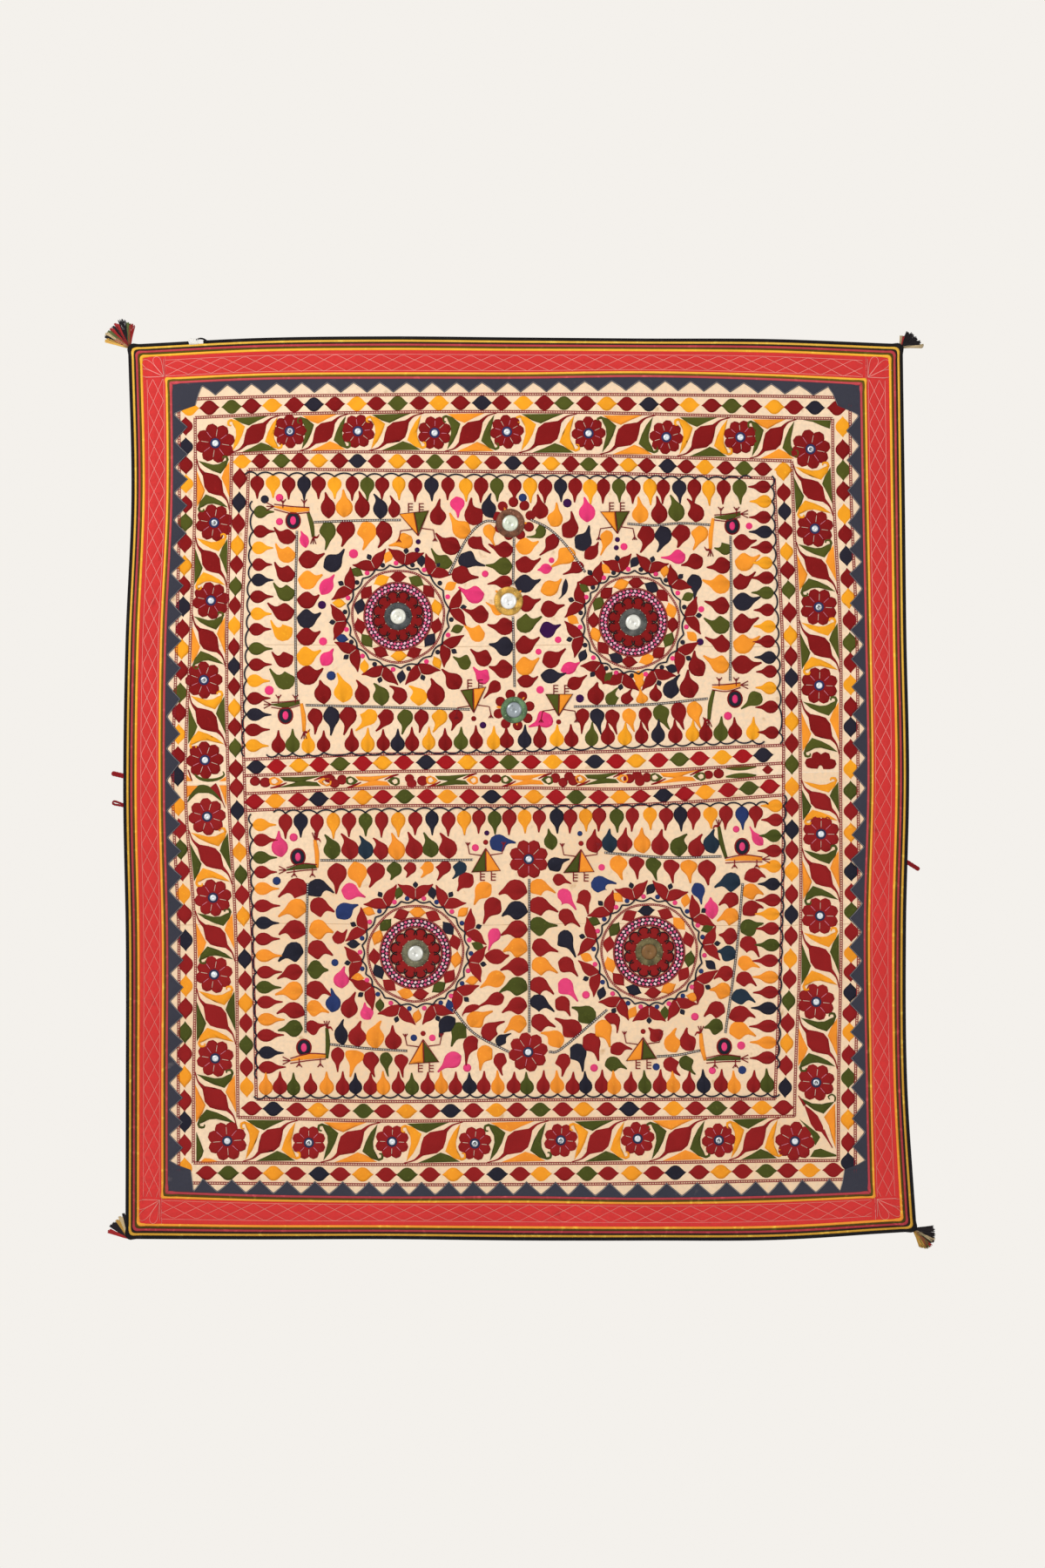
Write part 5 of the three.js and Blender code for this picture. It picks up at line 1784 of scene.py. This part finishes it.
LOWER_LEAVES = """
P -433 -952 -437 -931 -438 -904 27
M -389 -1020 -408 -1009 -439 -1026 34
O -388 -1052 -408 -1047 -439 -1062 33
M -389 -1093 -412 -1085 -438 -1095 32
N -393 -1128 -413 -1127 -439 -1144 33
M -394 -1163 -414 -1164 -441 -1176 27
O -394 -1200 -413 -1198 -445 -1205 31
M -391 -1242 -414 -1233 -442 -1240 27
G -394 -1268 -413 -1267 -440 -1271 28
N -384 -1022 -365 -1008 -337 -1018 30
M -379 -1051 -362 -1044 -336 -1053 33
O -382 -1090 -362 -1085 -338 -1091 33
M -384 -1128 -365 -1122 -339 -1133 32
G -386 -1159 -368 -1159 -347 -1160 31
M -388 -1204 -368 -1196 -342 -1207 31
O -387 -1232 -371 -1230 -346 -1238 27
M -387 -1270 -375 -1265 -352 -1260 25
P -323 -1013 -305 -1016 -279 -1026 28
B -331 -1064 -315 -1050 -292 -1040 28
M -340 -1099 -326 -1099 -313 -1085 22
G -340 -957 -341 -935 -354 -911 28
M -307 -957 -308 -935 -324 -909 29
T -280 -956 -279 -936 -290 -913 26
M -252 -957 -251 -938 -265 -917 25
O -221 -958 -222 -936 -231 -908 28
M -188 -956 -190 -935 -201 -906 29
G -158 -953 -160 -935 -172 -907 27
M -126 -955 -128 -933 -142 -908 30
M -333 -963 -331 -985 -333 -1020 32
O -300 -961 -293 -984 -290 -1008 32
M -261 -962 -260 -981 -272 -1008 30
G -228 -961 -226 -977 -233 -994 25
M -200 -962 -197 -974 -204 -990 21
O -170 -962 -166 -973 -177 -990 23
M -139 -961 -136 -972 -147 -995 26
T -107 -960 -106 -974 -119 -992 23
B -46 -938 -32 -926 -3 -926 30
G 64 -939 61 -921 57 -900 22
N 60 -976 71 -965 96 -956 25
M -82 -985 -96 -997 -110 -1015 27
O -48 -1003 -64 -1015 -79 -1040 28
M 18 -1017 -7 -1012 -34 -1021 34
O 26 -1018 41 -1007 70 -1018 28
M 65 -994 78 -994 99 -1001 20
P 75 -1027 87 -1026 108 -1049 28
N 19 -1053 -5 -1050 -28 -1061 31
M -31 -1033 -46 -1045 -62 -1075 31
M 25 -1052 42 -1042 75 -1053 32
M 77 -1066 91 -1063 115 -1080 29
M 19 -1086 -3 -1085 -30 -1096 30
G 25 -1085 41 -1079 74 -1078 32
P -35 -1084 -43 -1097 -53 -1124 21
N 75 -1096 88 -1104 107 -1136 30
O 18 -1124 -2 -1118 -26 -1126 33
M 27 -1120 45 -1118 75 -1126 30
M -60 -1133 -35 -1135 -15 -1132 25
M 20 -1160 -1 -1153 -31 -1160 31
O 28 -1158 45 -1152 74 -1165 31
M 75 -1145 91 -1151 111 -1171 27
O -22 -1172 -42 -1177 -68 -1192 28
G 18 -1196 -3 -1189 -33 -1201 31
M 25 -1196 42 -1188 67 -1204 30
P 75 -1184 89 -1191 111 -1217 28
M -24 -1209 -40 -1213 -72 -1227 22
M -68 -1226 -88 -1231 -101 -1244 12
M 18 -1226 -2 -1225 -28 -1238 29
N 26 -1226 41 -1220 68 -1236 29
M 70 -1214 84 -1223 97 -1244 26
O -85 -1264 -75 -1250 -45 -1235 30
M -50 -1290 -50 -1270 -23 -1254 28
O 17 -1260 -1 -1259 -24 -1275 30
M 27 -1262 43 -1256 70 -1264 30
M 108 -1283 98 -1266 69 -1248 34
O 78 -1302 68 -1284 43 -1275 28
N -32 -1299 -29 -1287 -11 -1276 18
G -94 -1265 -107 -1273 -121 -1300 30
N -114 -1248 -131 -1261 -143 -1283 27
M -72 -1288 -86 -1297 -94 -1335 26
O -46 -1305 -60 -1315 -68 -1344 28
M -24 -1313 -32 -1327 -27 -1353 22
P -103 -1317 -121 -1326 -146 -1347 27
M 76 -1316 84 -1328 82 -1355 26
N 97 -1303 112 -1313 120 -1346 30
G 135 -1258 125 -1240 100 -1228 32
O 143 -1261 158 -1270 170 -1301 32
M 121 -1283 137 -1295 149 -1326 32
M 160 -1246 178 -1250 183 -1275 20
M 172 -1312 187 -1303 211 -1305 22
G 161 -1335 178 -1332 201 -1341 25
M 263 -1288 254 -1278 241 -1265 25
O 292 -1310 284 -1291 292 -1266 27
M 324 -1306 312 -1289 312 -1265 27
G 377 -1268 362 -1263 343 -1266 27
M 283 -1319 283 -1334 299 -1353 26
G 310 -1316 311 -1331 327 -1351 24
T 409 -1003 390 -998 362 -1008 32
M 405 -1038 390 -1031 370 -1041 27
O 405 -1067 389 -1061 367 -1070 29
M 404 -1100 388 -1097 370 -1095 28
T 400 -1137 384 -1128 367 -1126 27
M 397 -1169 380 -1166 361 -1176 26
O 390 -1205 375 -1197 353 -1196 28
M 381 -1237 363 -1232 343 -1245 28
M 417 -993 437 -985 456 -990 24
O 415 -1023 431 -1015 452 -1021 27
M 415 -1058 432 -1045 452 -1046 26
G 411 -1090 427 -1081 452 -1074 29
M 409 -1116 426 -1113 444 -1136 28
O 405 -1149 420 -1147 445 -1155 25
M 402 -1180 419 -1176 439 -1189 25
T 394 -1214 413 -1208 437 -1219 26
M 389 -1248 412 -1240 437 -1247 28
O 390 -1276 409 -1270 438 -1281 30
P 451 -930 440 -918 427 -896 16
P 358 -1066 356 -1044 355 -1026 23
B 326 -1000 333 -1015 338 -1039 22
B 148 -1017 153 -1001 182 -1001 29
M 112 -1020 122 -1028 130 -1057 27
M 145 -944 141 -926 143 -901 27
T 174 -943 169 -924 170 -900 26
M 200 -943 197 -925 200 -898 26
O 232 -945 229 -925 229 -898 28
M 265 -949 262 -928 266 -901 29
G 298 -951 297 -930 312 -910 29
M 332 -954 329 -933 340 -910 28
T 362 -945 356 -925 362 -901 27
O 188 -949 186 -967 193 -994 29
M 220 -951 219 -964 221 -993 26
G 252 -953 250 -967 256 -995 26
M 285 -957 283 -970 286 -1000 27
O 315 -957 315 -971 318 -1000 28
M 349 -957 348 -976 351 -1004 30
B -341 -1237 -338 -1218 -342 -1193 25
P -322 -1193 -323 -1175 -317 -1153 26
M -310 -1248 -308 -1227 -297 -1200 28
P -270 -1250 -277 -1237 -280 -1219 22
N -319 -1297 -324 -1275 -319 -1250 22
M -291 -1300 -294 -1279 -287 -1253 30
O -259 -1304 -261 -1279 -250 -1253 30
M -225 -1306 -228 -1288 -229 -1261 28
M -329 -1301 -330 -1318 -330 -1347 22
O -297 -1307 -299 -1318 -307 -1356 32
M -265 -1310 -269 -1327 -262 -1356 27
G -237 -1311 -241 -1325 -237 -1355 21
M -212 -1314 -213 -1327 -210 -1357 23
"""

# Dots: thread, place across and up, radius.
DOTS = """
N -464 -295 8
P -437 -292 7.5
P -437 -336 7
P -456 -646 9
P -301 -395 9
U -359 -489 8
P -357 -556 8
B -342 -619 9
B 10 -292 8
U 92 -302 8.5
P 63 -407 5.5
P -59 -432 6.5
P 75 -553 6.5
P 39 -575 6
P 42 -645 7.5
U 115 -661 8
U -63 -710 6.5
P 196 -382 7
P 426 -344 6.5
P 338 -497 6
U 336 -557 7
P 387 -693 8
P -411 -916 8
B -442 -996 8
U -56 -908 5
P -77 -935 7
P 126 -1205 7.5
P -92 -1339 8
P -156 -1284 6.5
B -190 -1284 6.5
P 141 -1339 7.5
B 255 -1337 7
P 326 -1245 7.5
P 358 -1344 7
B 413 -1343 8
P 411 -1298 8
P 402 -901 6.5
P 155 -971 6.5
B 115 -909 5
B -335 -1146 7
"""
for text in (UPPER_LEAVES, LOWER_LEAVES):
    for colour, bx, bz, cx, cz, tx, tz, width in chart(text):
        leaf(colour, (bx, bz), (cx, cz), (tx, tz), width)
for colour, x, z, radius in chart(DOTS):
    oval(colour, x, z, radius, sides=10)

# Stems: the dark ladders that the leaves sprout from, as places along each.
STEMS = [
    [(-374, -337), (-290, -334), (-214, -333)], [(-405, -353), (-408, -500), (-406, -663)],
    [(202, -340), (250, -343), (300, -339), (355, -342)], [(392, -362), (393, -500), (391, -629)],
    [(-389, -673), (-240, -677), (-87, -681)], [(104, -676), (240, -672), (350, -661)],
    [(-362, -958), (-220, -959), (-82, -957)], [(-385, -1000), (-388, -1130), (-389, -1275)],
    [(160, -944), (275, -953), (375, -951)], [(414, -1000), (402, -1130), (382, -1275)],
    [(-344, -1296), (-270, -1304), (-202, -1308)], [(256, -1318), (296, -1315), (336, -1307)],
    [(-6, -366), (-8, -453)], [(-8, -510), (-5, -640)], [(22, -992), (22, -1130), (22, -1274)],
    [(-39, -336), (-62, -337), (-92, -366), (-126, -434)], [(24, -332), (58, -349), (90, -380), (125, -429)],
    [(-15, -1310), (-80, -1275), (-120, -1228)], [(58, -1310), (82, -1303), (165, -1232)],
]
for stem in STEMS:
    ladder(smooth_line(stem), gap=2.6, pitch=4.4, dark=True)

# Large flowers about the middle mirrors, and on the lower cloth about small glasses.
for x, z, reach, petals in ((-6, -331, 39, 9), (-6, -682, 37, 8)):
    for i in range(petals):
        a = 2 * math.pi * (i + 0.3) / petals
        far = reach - 8
        oval("M", *at_turn(x, z, far, 0, a), 10, 9.5, a)
flower(21, -956, 36, turn=0.39)
flower(20, -1310, 36, turn=0.2)
# Short yellow patches beside the middle mirrors: place and direction.
TIES = [
    (-23, -313, 1.9), (13, -339, 0.1), (-36, -466, 2.4), (4, -466, 0.8), (11, -661, 0.8),
    (-33, -677, 3.0), (-1, -707, 4.9),
]
for x, z, a in TIES:
    oval("O", x, z, 6, 2.4, a, 8)
sew("fields")

# Figures and birds: little skirted women and peacocks, in two tones with maroon outlines,
# drawn in the plainest strokes, upright on the lower cloth and upside down on the upper.

# Each woman: the tip of her skirt, its two hem corners, and the thread of its left half.
WOMEN = [
    ((-182, -362), (-217, -322), (-163, -316), "O"), ((184, -358), (153, -318), (206, -317), "O"),
    ((-80, -687), (-104, -646), (-58, -640), "G"), ((76, -693), (52, -653), (102, -653), "G"),
    ((-58, -936), (-84, -980), (-31, -977), "G"), ((117, -938), (85, -981), (141, -979), "G"),
    ((-173, -1287), (-199, -1332), (-144, -1328), "O"), ((231, -1283), (200, -1326), (256, -1322), "O"),
]
for tip, left, right, colour in WOMEN:
    hem = part_way(left, right, 0.5)
    up = 1 if tip[1] > hem[1] else -1
    other = "G" if colour == "O" else "O"
    seam_top = part_way(tip, hem, 0.05)
    left_foot, right_foot = (hem[0] - 0.6, hem[1]), (hem[0] + 0.6, hem[1])
    patch(colour, [tip, left, left_foot] if up > 0 else [tip, left_foot, left])
    patch(other, [seam_top, right_foot, right] if up > 0 else [seam_top, right, right_foot])
    MAROON_CORD.append([tip, left, right, tip])
    MAROON_CORD.append([tip, hem])
    heads = 2 if up < 0 and tip[1] > -400 else 1
    for k in range(heads):
        oval("U" if heads == 2 else "M", tip[0] - 2 * k, tip[1] + up * (11 + 15 * k), 5, sides=10)
    for side_of, corner in ((-1, left), (1, right)):
        shoulder = part_way(tip, corner, 0.3)
        elbow = (shoulder[0] + side_of * 22, shoulder[1] + up * 3)
        hand = (elbow[0] + side_of * 3, elbow[1] + up * 15)
        MAROON_CORD.append([shoulder, elbow, hand])
        for finger in (-4, 0, 4):
            MAROON_CORD.append([hand, (hand[0] + finger, hand[1] + up * 6)])
        x = hem[0] + side_of * 10
        MAROON_CORD.append([(x, hem[1]), (x, hem[1] - up * 17)])
        for k in (5, 10, 16):
            MAROON_CORD.append([(x, hem[1] - up * k), (x + 8, hem[1] - up * k)])

# Each bird: its back's ends, its neck's ends, which is green, its tail disc, and which way
# its beak and its feet point.
BIRDS = [
    ((-447, -308), (-382, -314), (-385, -318), (-375, -364), "neck", (-412, -334), 1, 1),
    ((362, -328), (410, -322), (360, -330), (355, -387), "body", (395, -344), -1, 1),
    ((-452, -672), (-400, -668), (-397, -670), (-392, -722), "body", (-426, -692), 1, 1),
    ((358, -640), (410, -636), (361, -645), (352, -700), "neck", (400, -662), -1, 1),
    ((-424, -976), (-368, -970), (-368, -972), (-372, -920), "body", (-403, -952), 1, -1),
    ((382, -958), (450, -956), (384, -955), (370, -896), "neck", (413, -933), -1, -1),
    ((-417, -1326), (-352, -1318), (-350, -1322), (-350, -1266), "neck", (-392, -1302), 1, -1),
    ((347, -1325), (410, -1322), (345, -1325), (337, -1275), "body", (380, -1300), -1, -1),
]
for back, chest, neck, crown, green, disc, beak, feet in BIRDS:
    body_colour, neck_colour = ("G", "O") if green == "body" else ("O", "G")
    waist = part_way(back, chest, 0.5)
    body = [back, (waist[0], waist[1] - feet * 3), chest]
    ribbon(body_colour, body, (1.2, 5, 3), 8)
    throat = part_way(neck, crown, 0.5)
    ribbon(neck_colour, [neck, (throat[0] + beak * 2, throat[1]), crown], (3, 4.4, 3), 8)
    beak_line = moved_by(crown, [(0, 0), (beak * 7, -feet), (beak * 11, feet * 5)])
    ribbon("M", beak_line, (2.8, 2.0, 0.6), 5)
    for k in (-5, 0, 5):
        MAROON_CORD.append([crown, (crown[0] + k, crown[1] - feet * 13)])
    for share in (0.25, 0.85):
        x = mix(min(back[0], chest[0]), max(back[0], chest[0]), share)
        z = (back[1] + chest[1]) / 2
        MAROON_CORD.append([(x, z), (x, z + feet * 14)])
        for k in (-5, 5):
            MAROON_CORD.append([(x, z + feet * 9), (x + k, z + feet * 16)])
    tail_end = back if abs(back[0]) > abs(chest[0]) else chest
    for k in (-7, 0, 7):
        outward = 14 if tail_end[0] > 0 else -14
        MAROON_CORD.append([tail_end, (tail_end[0] + outward, tail_end[1] + k)])
    for rises in ((-5, -7, -5), (4, 6, 4)):
        MAROON_CORD.append(smooth_line([(x, z + rise) for (x, z), rise in zip(body, rises)]))
    x, z = disc
    oval("M", x, z, 15, 17, sides=18)
    oval("N", x, z, 12.6, 14.6, sides=18, lift=0.5)
    oval("P", x, z, 5.6, 8.4, sides=12, lift=1.0)
sew("figures_and_birds")

# The couched cords, ladders and short stitches, laid over the patches' edges and caught
# down, and the small mirrors, each under a ring of navy buttonhole stitch.

COUCHED = 0.5  # how far the lowest cords stand off the ground's face


def couch(name, lines, radius, rise, paint, rounds=0):
    """One piece of cords, laid along lines of the cloth."""
    cords = tubes(name, laid(lines, GROUND_FACE + rise), radius, rounds=rounds)
    piece_of(name, cords, paint)


def cross_stitch(name, spots, size, rise, paint):
    """One piece of short stitches."""
    piece_of(name, rungs(spots, GROUND_FACE + rise, size), paint, smooth=False)


red_couching = yarn_paint("red_couching", (146, 30, 40))
couch("ladder_cords", RED_LADDER, CORD, COUCHED, red_couching)
red_stitch = yarn_paint("red_cross_stitch", (150, 36, 46))
cross_stitch("ladder_cross_stitches", RUNGS["red"], 1.3, COUCHED, red_stitch)
navy_couching = yarn_paint("navy_couching", (40, 40, 54))
couch("stem_cords", DARK_LADDER, 0.85, COUCHED, navy_couching)
white_stitch = yarn_paint("white_cross_stitch", (226, 220, 210))
cross_stitch("stem_cross_stitches", RUNGS["white"], 1.4, 0.9, white_stitch)
scallop_thread = yarn_paint("scallop_thread", (30, 34, 48))
couch("scallop_cords", NAVY_CORD, 1.6, 0.7, scallop_thread, 1)
maroon_couching = yarn_paint("maroon_couching", (130, 22, 28), (140, 30, 36))
couch("maroon_strokes", MAROON_CORD, 1.0, 0.9, maroon_couching)
black_outline = yarn_paint("black_outline", (34, 18, 20))
couch("petal_outlines", petal_outlines, 1.1, 1.1, black_outline)
rose_thread = yarn_paint("rose_cells_thread", (222, 84, 126))
cross_stitch("interlacing_rose", pink_cells, 4.0, 1.5, rose_thread)
pale_knots = yarn_paint("pale_pink_knots", (246, 188, 204), (244, 202, 206))
cross_stitch("interlacing_pale", pale_cells, 3.8, 1.55, pale_knots)
pale_dash = yarn_paint("pale_dash", (244, 220, 196))
couch("petal_dashes_pale", pale_dashes, 0.45, 1.0, pale_dash)
pink_dash = yarn_paint("pink_dash", (240, 150, 170))
couch("petal_dashes_pink", pink_dashes, 0.45, 1.0, pink_dash)

SMALL_BACK = 1.0
SMALL_SEGMENTS = 16
ring_bm = bmesh.new()
for x, z, outer, inner in flower_rings:
    crown = (inner + outer) / 2
    section = [(inner, SMALL_BACK), (inner, 2.1), (crown, 2.5), (outer, 1.9), (outer + 0.4, SMALL_BACK)]
    turned_rings(ring_bm, x, z, section, SMALL_SEGMENTS)
buttonhole = yarn_paint("navy_buttonhole", (44, 48, 92), (40, 46, 78))
piece_of("small_mirror_rings", ring_bm, buttonhole)
glass_bm = bmesh.new()
for x, z, r in flower_glasses:
    section = [(r, SMALL_BACK), (r, 1.9), (r * 0.5, 2.05), (0.2, 2.05), (0.2, SMALL_BACK)]
    turned_rings(glass_bm, x, z, section, SMALL_SEGMENTS)
glass_bm.loops.layers.uv.verify()
piece_of("small_mirrors", glass_bm, glass_paint("small_glass", (226, 230, 232), True))
